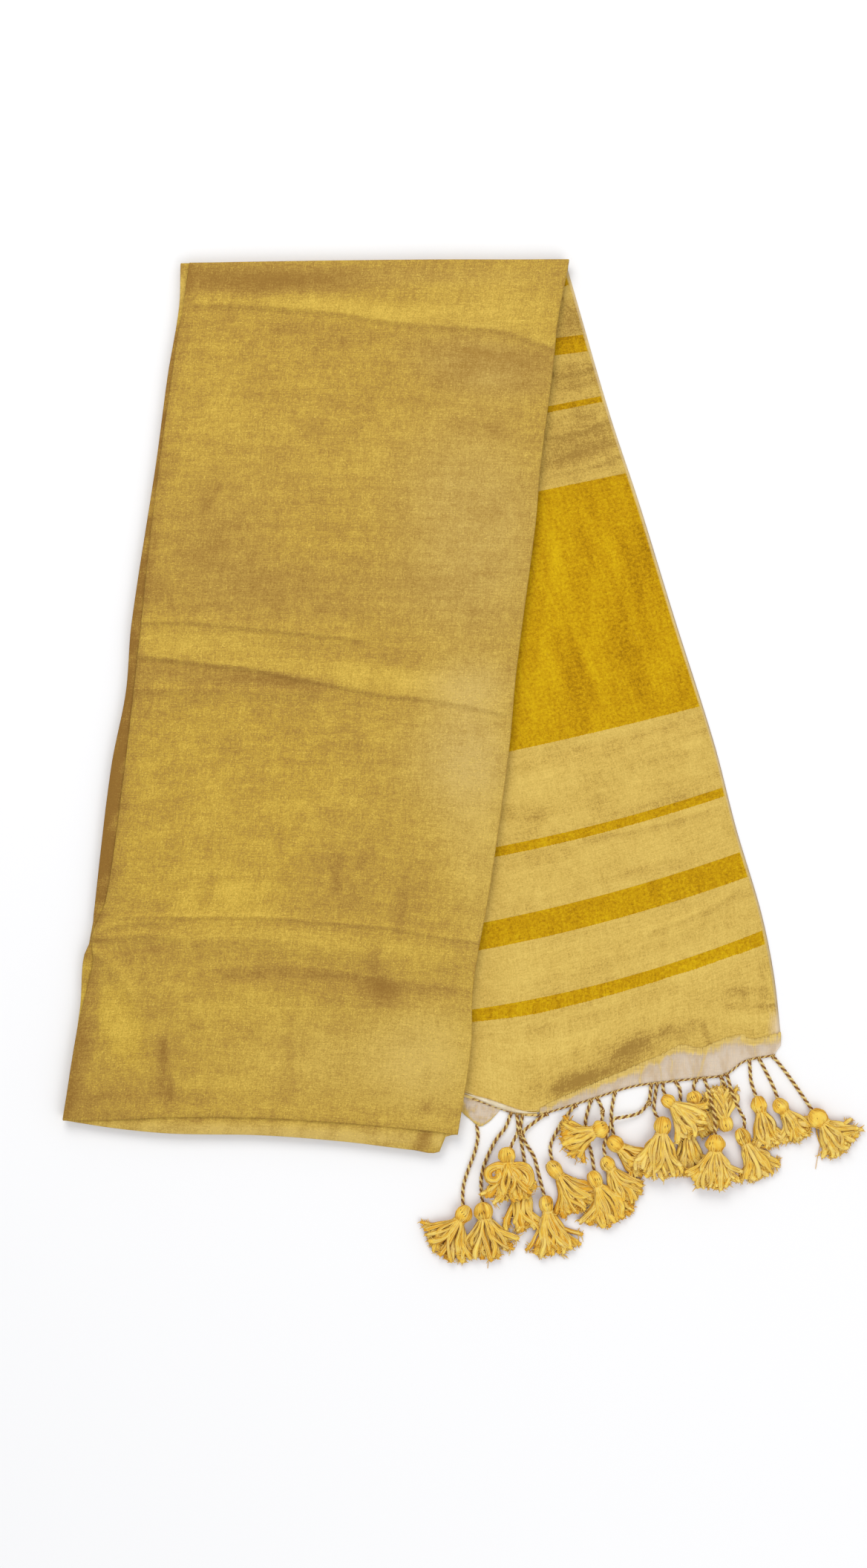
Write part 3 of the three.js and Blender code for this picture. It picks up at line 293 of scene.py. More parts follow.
PANEL_CREASES = [Crease(*row) for row in (
    # between the stripes of the upper part
    (0.5, 5, 4, 0.2, 0.3, 2, 2, [(76.7, 352.2), (86.8, 353.4), (95.2, 356.7)]),
    (0.8, 3, 2, 0.35, 0.5, 2, 2, [(69.4, 293.4), (86.8, 296.2), (104.2, 301.8)]),
    (-0.4, 4, 4, 0, 0.35, 3, 3, [(69.4, 283.9), (86.8, 287.3), (106.4, 293.4)]),
    (0.7, 4, 2, 0.3, 0.45, 2, 2, [(64.4, 245.8), (89.6, 251.4), (114.8, 262.1)]),
    (-0.5, 4, 5, 0, 0.4, 2, 2, [(61.6, 230.2), (92.4, 236.9), (123.2, 245.8)]),
    (0.6, 4, 2, 0.3, 0.4, 4, 2, [(59.9, 217.8), (95.2, 224.6), (126.6, 235.2)]),
    # in the wide band
    (0.5, 5, 4, 0.45, 0.35, 40, 40, [(71.7, 189.8), (68.3, 150.6), (61.6, 100.2), (53.8, 38.6)]),
    (0.5, 7, 5, 0.4, 0.35, 40, 30, [(100.8, 184.2), (99.7, 139.4), (95.2, 83.4), (86.8, 27.4)]),
    (-0.5, 6, 6, 0.1, 0.5, 30, 30, [(138.9, 189.8), (143.4, 161.8), (145.6, 128.2)]),
    (0.4, 6, 6, 0.35, 0.2, 30, 30, [(123.2, 150.6), (126.6, 105.8), (128.8, 55.4)]),
    (-0.4, 5, 5, 0, 0.35, 30, 30, [(87.9, 105.8), (85.1, 72.2), (82.9, 24.6)]),
    (-0.35, 3, 3, 0.1, 0.3, 20, 10, [(56, 115.9), (100.8, 123.8), (154, 136.6)]),
    # below it
    (-0.6, 4, 6, 0, 0.45, 4, 2, [(44.8, 2.8), (95.2, 13.4), (140, 24.6), (184.8, 39.8)]),
    (0.5, 3, 3, 0.25, 0.3, 30, 2, [(112, 6.2), (145.6, 14.6), (189.3, 29.7)]),
    (0.4, 7, 6, 0.2, 0.1, 10, 10, [(39.2, -18.5), (100.8, -6.2), (190.4, 16.2)]),
    (-0.5, 6, 6, 0, 0.45, 12, 16, [(39.2, -39.8), (56, -38.6), (70, -35.3)]),
    (-0.5, 5, 5, 0, 0.45, 8, 8, [(110.9, -21.8), (107.5, -31.4), (104.2, -41.4)]),
    # between the lower stripes
    (0.8, 2.5, 2, 0.3, 0.55, 14, 6, [(84, -59.4), (98.6, -55.4), (136.6, -48.7), (164.1, -42),
     (199.4, -30.2)]),
    (-0.4, 6, 6, 0, 0.35, 14, 14, [(112, -84.6), (128.8, -77.8), (145.6, -73.4)]),
    (-0.5, 2, 2, 0.2, 0.6, 4, 4, [(112, -96.9), (111.4, -104.2), (112, -112.6)]),
    (-0.35, 3, 3, 0.1, 0.35, 5, 5, [(85.1, -108.1), (84, -118.2), (84.6, -124.9)]),
    (0.9, 2.5, 2.2, 0.35, 0.6, 6, 4, [(140.6, -133.8), (142.8, -128.2), (149, -123.8),
     (164.1, -119.3), (197.1, -104.2), (212.8, -91.8)]),
    (-0.5, 5, 5, 0, 0.4, 8, 8, [(112, -137.8), (117.6, -136.1), (124.3, -133.8)]),
    (0.4, 7, 6, 0.15, 0.15, 12, 12, [(33.6, -168.6), (100.8, -151.8), (190.4, -118.2)]),
    # towards the end
    (-0.6, 3, 4, 0, 0.5, 10, 6, [(229.6, -146.2), (231.8, -163), (234.1, -180.9)]),
    (-0.7, 3, 3, 0, 1.2, 10, 0, [(193.2, -180.9), (212.8, -182), (241.9, -181.4)]),
    (-0.7, 2, 2, 0.4, 1.6, 3, 2, [(184.8, -193.2), (187.6, -203.3), (191, -213.9)]),
    (0.6, 6, 5, 0.2, 0.4, 12, 12, [(44.8, -199.4), (84, -192.1), (128.8, -177)]),
    (-0.6, 9, 8, 0, 0.9, 12, 16, [(112, -221.8), (128.8, -210.6), (151.2, -203.3)]),
    (0.5, 5, 5, 0.2, 0.2, 10, 10, [(28, -224.6), (67.2, -221.8), (106.4, -207.8)]),
    (-0.6, 5, 6, 0, 0.8, 10, 10, [(64.4, -247), (95.2, -234.6), (134.4, -225.7)]),
    (0.4, 4, 4, 0.2, 0.2, 6, 6, [(145.6, -199.4), (168, -196.6), (182, -188.2)]),
)]
# Areas of the end panel painted lighter or darker, as light and shade
PANEL_PATCHES = [Patch(*row) for row in (
    (90, 335, 25, 16, 10, -0.8, 0), (88, 295, 30, 14, 10, -0.65, 0), (90, 245, 40, 28, 14, -0.75, 0),
    (68, 150, 14, 40, 0, 0.35, 0), (60, 60, 16, 45, 4, 0.4, 0), (100, 100, 18, 50, 3, 0.25, 0),
    (95, 60, 10, 35, 2, -0.45, 0), (135, 160, 12, 26, -8, -0.35, 0), (69, 176, 4, 22, 19, 0.45, 0),
    (97, 79, 4.5, 34, 24, 0.5, 0), (116, 158, 6, 20, 30, 0.4, 0), (134, 72, 8, 20, 15, -0.3, 0),
    (84, 92, 6, 22, 10, -0.25, 0), (125, 95, 14, 20, 0, -0.35, 0), (160, 90, 12, 30, -15, 0.25, 0),
    (110, 25, 20, 20, 0, 0.2, 0), (60, -15, 25, 12, 10, 0.3, 0), (120, 0, 50, 8, 15, -0.1, 0),
    (50, -38, 22, 8, 0, -0.35, 0), (150, -60, 40, 10, 14, 0.15, 0), (60, -90, 25, 12, 0, 0.2, 0),
    (45, -160, 18, 30, 0, 0.3, 0), (180, -150, 30, 30, 0, 0.15, 0), (136, -212, 34, 11, 20, -0.55, 0),
    (176, -198, 20, 8, 12, -0.3, 0), (84, -239, 34, 8, 20, -0.75, 0), (215, -172, 16, 5, 0, -0.45, 0),
    (150, -30, 40, 5, 14, -0.3, 0), (60, -70, 26, 6, 8, -0.3, 0), (70, -205, 45, 14, 10, 0.2, 0),
    (215, -190, 20, 10, 0, 0.25, 0), (30, -235, 20, 12, -10, 0.25, 0),
)]
# Areas of the second layer painted lighter or darker, as light and shade, and how much more matte they look
SECOND_LAYER_PATCHES = [Patch(*row) for row in (
    (-210, 358, 8, 18, 0, 0.9, 0.6), (-232, 260, 14, 90, -8, -0.75, 0), (-255, 60, 14, 120, -8, -0.9, 0),
    (-272, -60, 14, 80, -8, -0.85, 0), (-290, -185, 9, 34, -8, 0.9, 0), (-27, -284, 6.5, 9, -3, -1.1, 0),
    (-14, -284, 6, 9, 0, 0.3, 0.3), (-140, -280, 165, 10, -2, 0.9, 1.2),
)]

# Tassels from the left of the hem: where the cord leaves the hem (an x, or a point), its way from
# there, the middle of the head and its three sizes, and for the skirt its direction and half angle
# in degrees, its reach from the head and how far it lies over what is below it. A point of the way
# without a height is at the rest
CORD_REST = 1.7
TASSELS = [Tassel(*row) for row in (
    ((12.5, -274.7, 1.7), [(13.4, -281.5), (11, -293.4), (6.2, -306.3), (2.2, -320.3)],
     (2.2, -339.9, 5.2), 13, 14, 9.6, -122, 50, 40, 0),
    (38.5, [(34.2, -274.8), (27.7, -283.1), (22.1, -293.4), (17.6, -304.5), (15.7, -316)],
     (17.4, -338, 5.2), 15, 14, 9.6, -80, 40, 40, 0),
    (43, [(43.4, -277.6, 2.6), (39.6, -285.5, 5)], (35.3, -295.1, 8.8), 13.6, 12.5, 9, -84, 40, 39, 5.6),
    (47, [(45.4, -278.3), (47, -290.6), (48.4, -300)], (46.5, -315.3, 3), 12, 12, 5.2, -88, 18, 42, 0),
    (65.5, [(57.1, -270), (47.6, -278.4, 3.4), (49.4, -286.3, 2.6), (55.6, -296.5), (59.2, -309.7)],
     (65, -332.4, 5), 11.5, 13, 9.2, -80, 33, 44, 0),
    (87.4, [(79, -267.7), (71.7, -280), (68, -291)], (71.4, -306.3, 5), 11.5, 15, 9.2, -52, 32, 41, 0),
    (103.6, [(106.6, -259, 2.4), (107.6, -264, 5)], (105, -275, 9), 12.6, 12.6, 9, -158, 33, 33, 4.2),
    (117, [(115, -258.2), (114.2, -266.6), (114.8, -274)], (117, -286.7, 5),
     12.4, 13.5, 9.2, -40, 22, 35, 0),
    (144.4, [(142.5, -255), (135.5, -263.4, 2.4), (123.2, -266.6, 4.4), (116, -268, 5.2),
     (112.6, -274, 6.8), (109.8, -282, 7.2), (108.4, -290, 5.5)], (111.2, -302, 5),
     11.4, 12, 9, -58, 24, 38, 0),
    (99, [(96.5, -262), (94.6, -271), (95.6, -282), (98.4, -291), (100.2, -300)], (101.6, -313.8, 5),
     11.6, 13.6, 9.2, -64, 42, 41, 0),
    (148.8, [(147, -254), (146.6, -262, 3)], (152.4, -273, 7), 13.4, 14, 9.4, -97, 35, 43, 5.4),
    (153.4, [(153.2, -246, 4)], (156.8, -254.4, 7.4), 10.6, 11, 8, -40, 31, 36, 5.6),
    (178.6, [(176.6, -243)], (176.6, -252.2, 4), 11.6, 10, 7, -72, 20, 33, 0),
    (163, [(166.2, -246.5), (166.4, -258)], (170, -273.8, 3), 11, 12, 5, -84, 24, 42, 0),
    (184.6, [(187, -246, 5), (189.6, -256, 8.6), (191.6, -266, 9.4)], (191.8, -286.2, 10.2),
     15, 14, 9.2, -91, 41, 38, 5.6),
    (197, [(200, -243), (200.6, -256)], (200.4, -271.4, 3.9), 11.4, 12, 7, 104, 34, 31, 0),
    (201.6, [(203.6, -243, 6), (206.6, -252, 7.4), (211, -262, 7), (214.4, -268.5, 5)],
     (213.4, -281.7, 5), 11.4, 14, 9, -66, 28, 38, 0),
    (218.6, [(219.2, -231.3), (220, -240.2)], (225.7, -257.6, 5), 11.8, 13.6, 9.2, -76, 20, 37, 0),
    (226, [(230.7, -231.8), (236.3, -243)], (241.9, -258.7, 5), 12, 13, 9.2, -56, 31, 33, 0),
    (236.4, [(245.3, -231.8), (254.2, -244.2)], (269.9, -267.5, 5.4), 15, 15, 10, -43, 41, 36, 0),
)]
TWO_LOBED_HEADS = (2, 17)
LOOPED_TASSEL = 3
# Places of a tassel's materials; the gold ply follows the brown one
COTTON, LIGHT, DEEP, BROWN_PLY = range(4)
# Yarns to draw from, for the lowest tier and the others, left and right of this x; on the left the lowest
# tier is mostly deep yarn, as painted shade under the locks above
PALER_FROM_X = 150
LOCK_TONES = [
    ((DEEP, DEEP, COTTON), (COTTON, COTTON, LIGHT, COTTON, DEEP)),
    ((COTTON, COTTON, LIGHT), (LIGHT, LIGHT, LIGHT, COTTON, LIGHT)),
]
# A tassel's number, and the middle of the knot where its cord meets another
MEETING_KNOTS = [(5, (46, -279, 3.4)), (9, (142.5, -256, 3)), (7, (106.8, -262, 4.4))]
# A tassel's number, the way of a yarn that has come loose, and its radius
STRAY_YARNS = [
    (20, [(273, -271.5, 5), (269.5, -275.5, 2.4), (270.8, -283, 1.2), (273.2, -289.5, 1)], 0.6),
    (20, [(272.6, -287, 0.8), (270.6, -296.2, 0.6), (268.8, -306.3, 0.5)], 0.22),
    (2, [(20, -370, 1.2), (21.2, -376, 0.7), (20.7, -381.5, 0.6)], 0.24),
    (7, [(86, -289, 4), (88.5, -297, 1.4), (86.8, -303.5, 0.6)], 0.2),
    (11, [(147.5, -281, 9), (142.6, -283.6, 8.4), (139.2, -288.5, 6.4), (139.8, -294, 5)], 0.6),
    (6, [(76, -311, 8), (80.5, -310, 8.6), (84.6, -313.4, 8), (87.4, -312, 7.2)], 0.6),
]
# The ways of its locks that have looped back, and their thickness
BOW_LOOPS = [
    ([(34, -303, 10), (27.5, -302.5, 11.4), (21, -306.5, 11.4), (21.8, -312.5, 11.8),
      (27, -313.5, 12), (30, -309, 12.2), (27.5, -306, 12.6)], 1.5),
    ([(36.5, -303, 10), (44, -302.5, 11.6), (51, -307, 11.6), (53, -313, 11.6),
      (50.5, -318.5, 11)], 1.5),
    ([(36, -303, 10.6), (41.5, -306, 12.6), (45.5, -310.5, 12.6), (41.5, -313.5, 12.8),
      (39, -309.5, 12.8)], 1.2),
]


def smooth_value(rows, at):
    """Value at `at`, a number or an array, on a smooth curve through a table's first two columns"""
    steps, values = (np.array([row[k] for row in rows], float) for k in (0, 1))
    at = np.asarray(at, float)
    last = len(steps) - 1
    k = np.clip(np.searchsorted(steps, at, side="left") - 1, 0, last - 1)
    before, after = np.maximum(k - 1, 0), np.minimum(k + 2, last)
    span = steps[k + 1] - steps[k]
    here = np.clip((at - steps[k]) / span, 0, 1)
    start_slope = (values[k + 1] - values[before]) / (steps[k + 1] - steps[before]) * span
    end_slope = (values[after] - values[k]) / (steps[after] - steps[k]) * span
    square, cube = here**2, here**3
    return (
        (2 * cube - 3 * square + 1) * values[k]
        + (cube - 2 * square + here) * start_slope
        + (3 * square - 2 * cube) * values[k + 1]
        + (cube - square) * end_slope
    )


def smooth_step(value, low, high):
    share = np.clip((value - low) / (high - low), 0, 1)
    return share * share * (3 - 2 * share)


def turned(vector):
    """A flat vector turned a quarter left"""
    return np.array([-vector[1], vector[0]])


def unit(vectors):
    return vectors / np.maximum(np.linalg.norm(vectors, axis=-1, keepdims=True), 1e-9)


def corner(start, distance, degrees):
    return np.array(start) + distance * np.array(
        [math.cos(math.radians(degrees)), math.sin(math.radians(degrees))]
    )


CORNERS = {"top_left": np.array(TOP_LEFT, float)}
CORNERS["top_right"] = corner(TOP_LEFT, TOP_END, -LEAN_TOP)
CORNERS["bottom_left"] = corner(TOP_LEFT, LEFT_SIDE, -90 - LEAN_LEFT)
CORNERS["bottom_right"] = corner(CORNERS["bottom_left"], BOTTOM_END, -LEAN_BOTTOM)


# Each edge of a layer: its first and last corner, and on which side of the way it bows out
SIDES = {
    "left": ("top_left", "bottom_left", -1),
    "right": ("top_right", "bottom_right", 1),
    "top": ("top_left", "top_right", 1),
    "bottom": ("bottom_left", "bottom_right", -1),
}


def side_normal(side):
    start, end, flip = SIDES[side]
    along = CORNERS[end] - CORNERS[start]
    return flip * turned(along) / np.linalg.norm(along)


class Layer:
    """The outline of one layer of the stack: each edge bows, and is moved out by its own amount"""

    def __init__(self, left_bow=LEFT_BOW, bottom_bow=LOWER_LIP_BOW, left=0, right=0, top=0, bottom=0):
        self.bows = {"left": left_bow, "right": RIGHT_BOW, "top": TOP_END_BOW, "bottom": bottom_bow}
        self.out = {"left": left, "right": right, "top": top, "bottom": bottom}

    def edge(self, side, at):
        """Points a fraction of the way along an edge"""
        start, end, flip = SIDES[side]
        along = CORNERS[end] - CORNERS[start]
        distance = flip * (smooth_value(self.bows[side], at) + self.out[side])
        outward = turned(along) / np.linalg.norm(along)
        return CORNERS[start] + np.multiply.outer(at, along) + np.multiply.outer(distance, outward)

    def point(self, across, down):
        """Points a fraction across and down the layer, blended from its four edges"""
        across, down = np.asarray(across, float), np.asarray(down, float)
        left, right = self.edge("left", down), self.edge("right", down)
        point = left + (right - left) * across[..., None]
        for end, weight in (("top", 1 - down), ("bottom", down)):
            start, finish = self.edge(end, 0.0), self.edge(end, 1.0)
            straight = start + np.multiply.outer(across, finish - start)
            point += (self.edge(end, across) - straight) * weight[..., None]
        top_moved = self.edge("top", 0.0)[1] - self.edge("left", 0.0)[1]
        bottom_moved = self.edge("bottom", 0.0)[1] - self.edge("left", 1.0)[1]
        point[..., 1] += top_moved * (1 - down) + bottom_moved * down
        return point


def hem_y(x):
    return smooth_value(HEM_LINE, x)


def gold_end_y(x):
    return smooth_value(GOLD_WEFT_END, x)


def cloth_edge_y(x):
    """Lower edge of the cloth, below the sheer strip where that is narrow"""
    x = np.asarray(x, float)
    below_strip = gold_end_y(x) - SEAM - 0.8
    return np.where(x > 56, np.minimum(hem_y(x), below_strip), hem_y(x))


def hem_direction(x):
    rise = cloth_edge_y(x + 1) - cloth_edge_y(x - 1)
    return np.stack([np.full_like(rise, 2.0), rise], -1) / np.hypot(2, rise)[..., None]


def hem_cord_point(x):
    x = np.asarray(x, float)
    out = (HEM_CORD_RADIUS + HEM_CORD_GAP) / hem_direction(x)[..., 0]
    return np.stack([x, cloth_edge_y(x) - out, np.full_like(x, HEM_CORD_RADIUS + SEAM)], -1)


def panel_left(y):
    top, bottom = CORNERS["top_right"][1], CORNERS["bottom_right"][1]
    return Layer().edge("right", np.clip((top - y) / (top - bottom), 0, 1))[..., 0] - PANEL_TUCK


def panel_right(y):
    down = np.clip((SELVEDGE_TOP.y - y) / (SELVEDGE_TOP.y - SELVEDGE_BOTTOM.y), 0, 1)
    straight = SELVEDGE_TOP.x + (SELVEDGE_BOTTOM.x - SELVEDGE_TOP.x) * down
    return straight + smooth_value(SELVEDGE_BOW, down)


def smooth_way(points, step=2.0):
    """Points every `step` along a smooth curve through a short list of points"""
    points = np.array(points, float)
    if len(points) == 2:
        points = np.array([points[0], points.mean(0), points[1]])
    lengths = np.r_[0, np.cumsum(np.linalg.norm(np.diff(points, axis=0), axis=1))]
    places = np.linspace(0, lengths[-1], max(int(lengths[-1] / step), 3) + 1)
    columns = [smooth_value(list(zip(lengths, points[:, k])), places) for k in range(points.shape[1])]
    return np.stack(columns, -1)


def crease_field(creases, x, y):
    """Height, and the painted light and shade (tone), that the creases add at each point of a cloth"""
    height, tone = np.zeros_like(x), np.zeros_like(x)
    for crease in creases:
        way = smooth_way(crease.way, 4.0)
        reach = 3 * max(crease.above, crease.below)
        low, high = way.min(0) - reach, way.max(0) + reach
        near = (x > low[0]) & (x < high[0]) & (y > low[1]) & (y < high[1])
        px, py = x[near], y[near]
        best = np.full(px.shape, 1e9)
        side, place = np.zeros_like(px), np.zeros_like(px)
        travelled = 0.0
        for start, end in zip(way[:-1], way[1:]):
            along = end - start
            length = np.hypot(*along)
            share = ((px - start[0]) * along[0] + (py - start[1]) * along[1]) / length**2
            clipped = np.clip(share, 0, 1)
            dx, dy = px - start[0] - clipped * along[0], py - start[1] - clipped * along[1]
            distance = np.hypot(dx, dy)
            closer = distance < best
            best = np.where(closer, distance, best)
            side = np.where(closer, np.sign(along[0] * dy - along[1] * dx), side)
            place = np.where(closer, travelled + share * length, place)
            travelled += length
        width = np.where(side > 0, crease.above, crease.below)
        fade = np.ones_like(px)
        if crease.fade_in:
            fade *= smooth_step(place, 0, crease.fade_in)
        if crease.fade_out:
            fade *= smooth_step(travelled - place, 0, crease.fade_out)
        height[near] += crease.height * np.exp(-((best / width) ** 2)) * fade
        lit = crease.bright * np.exp(-((best / (1.3 * crease.above)) ** 2))
        shaded = crease.dark * np.exp(-((best / (1.6 * crease.below)) ** 2))
        above = 0.5 + 0.5 * np.tanh(best * side / CREST_SOFTNESS)
        tone[near] += CREASE_SHINE * (lit * above - shaded * (1 - above)) * fade
    return height, tone


def patch_field(patches, x, y):
    """Painted light and shade (tone), and how matte the cloth looks, that the broad patches add at each
    point
    """
    tone, matte = np.zeros_like(x), np.zeros_like(x)
    for patch in patches:
        turn = math.radians(patch.turn)
        dx, dy = x - patch.x, y - patch.y
        along = (dx * math.cos(turn) + dy * math.sin(turn)) / patch.half_x
        across = (dy * math.cos(turn) - dx * math.sin(turn)) / patch.half_y
        weight = np.exp(-((along**2 + across**2) ** 1.3))
        tone += patch.tone * weight
        matte += patch.matte * weight
    return tone, matte


def undulation(x, y, wavelength, seed, stretch=1.0):
    """Gentle uneven waves from -1 to 1; a stretch above 1 makes them longer across"""
    chance = random.Random(seed)
    total = np.zeros_like(x)
    count = 9
    for _ in range(count):
        heading = chance.uniform(0, math.pi)
        length = wavelength * chance.uniform(0.6, 1.7)
        phase = chance.uniform(0, 2 * math.pi)
        turn = (x / stretch) * math.cos(heading) + y * math.sin(heading)
        total += np.sin(2 * math.pi * turn / length + phase)
    return total / (count**0.5 * 1.4)


def deselect_all():
    for thing in bpy.context.selected_objects:
        thing.select_set(False)


def cloth_grid(name, columns, rows):
    """A flat grid of faces, with each corner's column and row counted from its top left"""
    deselect_all()
    bpy.ops.mesh.primitive_grid_add(x_subdivisions=columns, y_subdivisions=rows, size=1)
    cloth = bpy.context.object
    cloth.name = cloth.data.name = name
    flat = np.empty(len(cloth.data.vertices) * 3)
    cloth.data.vertices.foreach_get("co", flat)
    flat = flat.reshape(-1, 3)
    column = np.rint((flat[:, 0] + 0.5) * columns).astype(int)
    row = np.rint((0.5 - flat[:, 1]) * rows).astype(int)
    return cloth, column, row


def shape_cloth(cloth, x, y, z, across, along, **painted):
    """Moves a grid's corners into place, and gives it its cloth coordinates and painted values"""
    mesh = cloth.data
    co = np.stack([(x + TO_FRAME[0]) * MM, (y + TO_FRAME[1]) * MM, z * MM], -1)
    mesh.vertices.foreach_set("co", co.ravel())
    corners = np.empty(len(mesh.loops), int)
    mesh.loops.foreach_get("vertex_index", corners)
    layer = mesh.uv_layers.active or mesh.uv_layers.new(name="cloth")
    layer.name = "cloth"
    layer.data.foreach_set("uv", (np.stack([across, along], -1) * MM)[corners].ravel())
    for name, values in painted.items():
        attribute = mesh.attributes.new(name, "FLOAT", "POINT")
        attribute.data.foreach_set("value", np.asarray(values, np.float32))
    mesh.update()


def finish_cloth(cloth, wall, material):
    """Gives a cloth its thickness downwards, smooth shading and its material"""
    deselect_all()
    cloth.select_set(True)
    bpy.context.view_layer.objects.active = cloth
    solid = cloth.modifiers.new("Thickness", "SOLIDIFY")
    solid.thickness = wall
    solid.offset = -1
    bpy.ops.object.modifier_apply(modifier=solid.name)
    bpy.ops.object.shade_smooth()
    cloth.data.materials.clear()
    cloth.data.materials.append(material)


def roll_steps(radius, tuck):
    """How far out and down a rolled edge goes, step by step, and its length along the cloth"""
    steps = [(0, 0, 0)]
    for angle in (35, 75, 110, 145, 180):
        turn = math.radians(angle)
        steps.append((radius * math.sin(turn), radius * (1 - math.cos(turn)), radius * turn))
    under = steps[-1]
    for share in (0.5, 1):
        steps.append((-tuck * share, under[1], under[2] + tuck * share))
    return np.array(steps)


def uneven_rows(rows, folded, closer):
    """Places from 0 to 1 of a cloth's rows, closer together in its folded stretches"""
    places = np.linspace(0, 1, 2001)
    packing = np.ones_like(places)
    for start, end in folded:
        within = smooth_step(places, start - 0.012, start) * smooth_step(-places, -end - 0.012, -end)
        packing += (closer - 1) * within
    passed = np.r_[0, np.cumsum((packing[1:] + packing[:-1]) / 2)]
    return np.interp(np.linspace(0, passed[-1], rows + 1), passed, places)


def rolled_layer(name, surface, columns, rows, radius, tuck, paint, row_places=None):
    """One layer of the stack: its upper surface, with all four edges rolled under it"""
    steps = roll_steps(radius, tuck)
    extra = len(steps) - 1
    cloth, column, row = cloth_grid(name, columns + 2 * extra, rows + 2 * extra)
    inner_column, inner_row = np.clip(column - extra, 0, columns), np.clip(row - extra, 0, rows)
    beyond_x, beyond_y = column - extra - inner_column, row - extra - inner_row
    across, down = inner_column / columns, inner_row / rows
    if row_places is not None:
        down = row_places[inner_row]
    x, y, z = surface(across, down)
    ring = np.maximum(abs(beyond_x), abs(beyond_y))
    out, drop, travelled = steps[ring].T
    heading = 0
    for beyond, before, after in ((beyond_x, "left", "right"), (beyond_y, "top", "bottom")):
        normal = np.where(beyond[:, None] < 0, side_normal(before), side_normal(after))
        heading = heading + normal * abs(beyond)[:, None]
    heading = unit(heading)
    tone, matte = paint(x, y)
    x, y, z = x + heading[:, 0] * out, y + heading[:, 1] * out, z - drop
    share = travelled / np.maximum(ring, 1)
    shape_cloth(
        cloth, x, y, z,
        across * STACK_WIDTH + beyond_x * share,
        down * STACK_LENGTH + beyond_y * share,
        tone=tone, matte=matte,
    )
    return cloth


def socket_value(tree, node, key, value):
    if isinstance(value, bpy.types.NodeSocket):
        tree.links.new(value, node.inputs[key])
    else:
        node.inputs[key].default_value = value


def add_node(tree, kind, inputs=None, **settings):
    """A node with its settings, and its inputs set or linked"""
    node = tree.nodes.new(kind)
    for name, value in settings.items():
        setattr(node, name, value)
    for key, value in (inputs or {}).items():
        socket_value(tree, node, key, value)
    return node


def calculate(tree, operation, first, second=0.0, third=None):
    inputs = {0: first, 1: second}
    if third is not None:
        inputs[2] = third
    return add_node(tree, "ShaderNodeMath", inputs, operation=operation).outputs[0]


def added(tree, first, second):
    return calculate(tree, "ADD", first, second)


def times(tree, first, second):
    return calculate(tree, "MULTIPLY", first, second)


def clamped(tree, value):
    return add_node(tree, "ShaderNodeClamp", {0: value}).outputs[0]


def mixed(tree, share, first, second, blend="MIX"):
    node = add_node(
        tree, "ShaderNodeMix", {0: share, 6: first, 7: second}, data_type="RGBA", blend_type=blend
    )
    return node.outputs[2]


def stretched(tree, vector, scale):
    return add_node(tree, "ShaderNodeVectorMath", {0: vector, 1: scale}, operation="MULTIPLY").outputs[0]


def noise_value(tree, vector, scale, detail=2.0, roughness=0.5):
    inputs = {"Vector": vector, "Scale": scale, "Detail": detail, "Roughness": roughness}
    return add_node(tree, "ShaderNodeTexNoise", inputs, noise_dimensions="3D").outputs["Fac"]


def between(tree, value, low, high, to_low=0.0, to_high=1.0):
    inputs = {"Value": value, "From Min": low, "From Max": high, "To Min": to_low, "To Max": to_high}
    return add_node(tree, "ShaderNodeMapRange", inputs).outputs[0]


def attribute_value(tree, name):
    return add_node(tree, "ShaderNodeAttribute", attribute_name=name).outputs["Fac"]


def new_group(name, inputs, outputs):
    """An empty node group with named sockets, and its two end nodes"""
    group = bpy.data.node_groups.new(name, "ShaderNodeTree")
    for label, kind in inputs:
        group.interface.new_socket(label, in_out="INPUT", socket_type=kind)
    for label, kind in outputs:
        group.interface.new_socket(label, in_out="OUTPUT", socket_type=kind)
    return group, group.nodes.new("NodeGroupInput"), group.nodes.new("NodeGroupOutput")


def use_group(tree, group, inputs):
    node = tree.nodes.new("ShaderNodeGroup")
    node.node_tree = group
    for key, value in inputs.items():
        socket_value(tree, node, key, value)
    return node


def made_once(make):
    """Makes a material or node group the first time, and finds it by its name after that"""

    def found_or_made(name, *values, **settings):
        kept = bpy.data.materials.get(name) or bpy.data.node_groups.get(name)
        return kept or make(name, *values, **settings)

    return found_or_made


# Weave, in millimetres: the axis across weft and warp threads, and from one thread to the next
PER_METRE = (1000, 1000, 1000)
THREADS = ((1, 0.42), (0, 0.5))


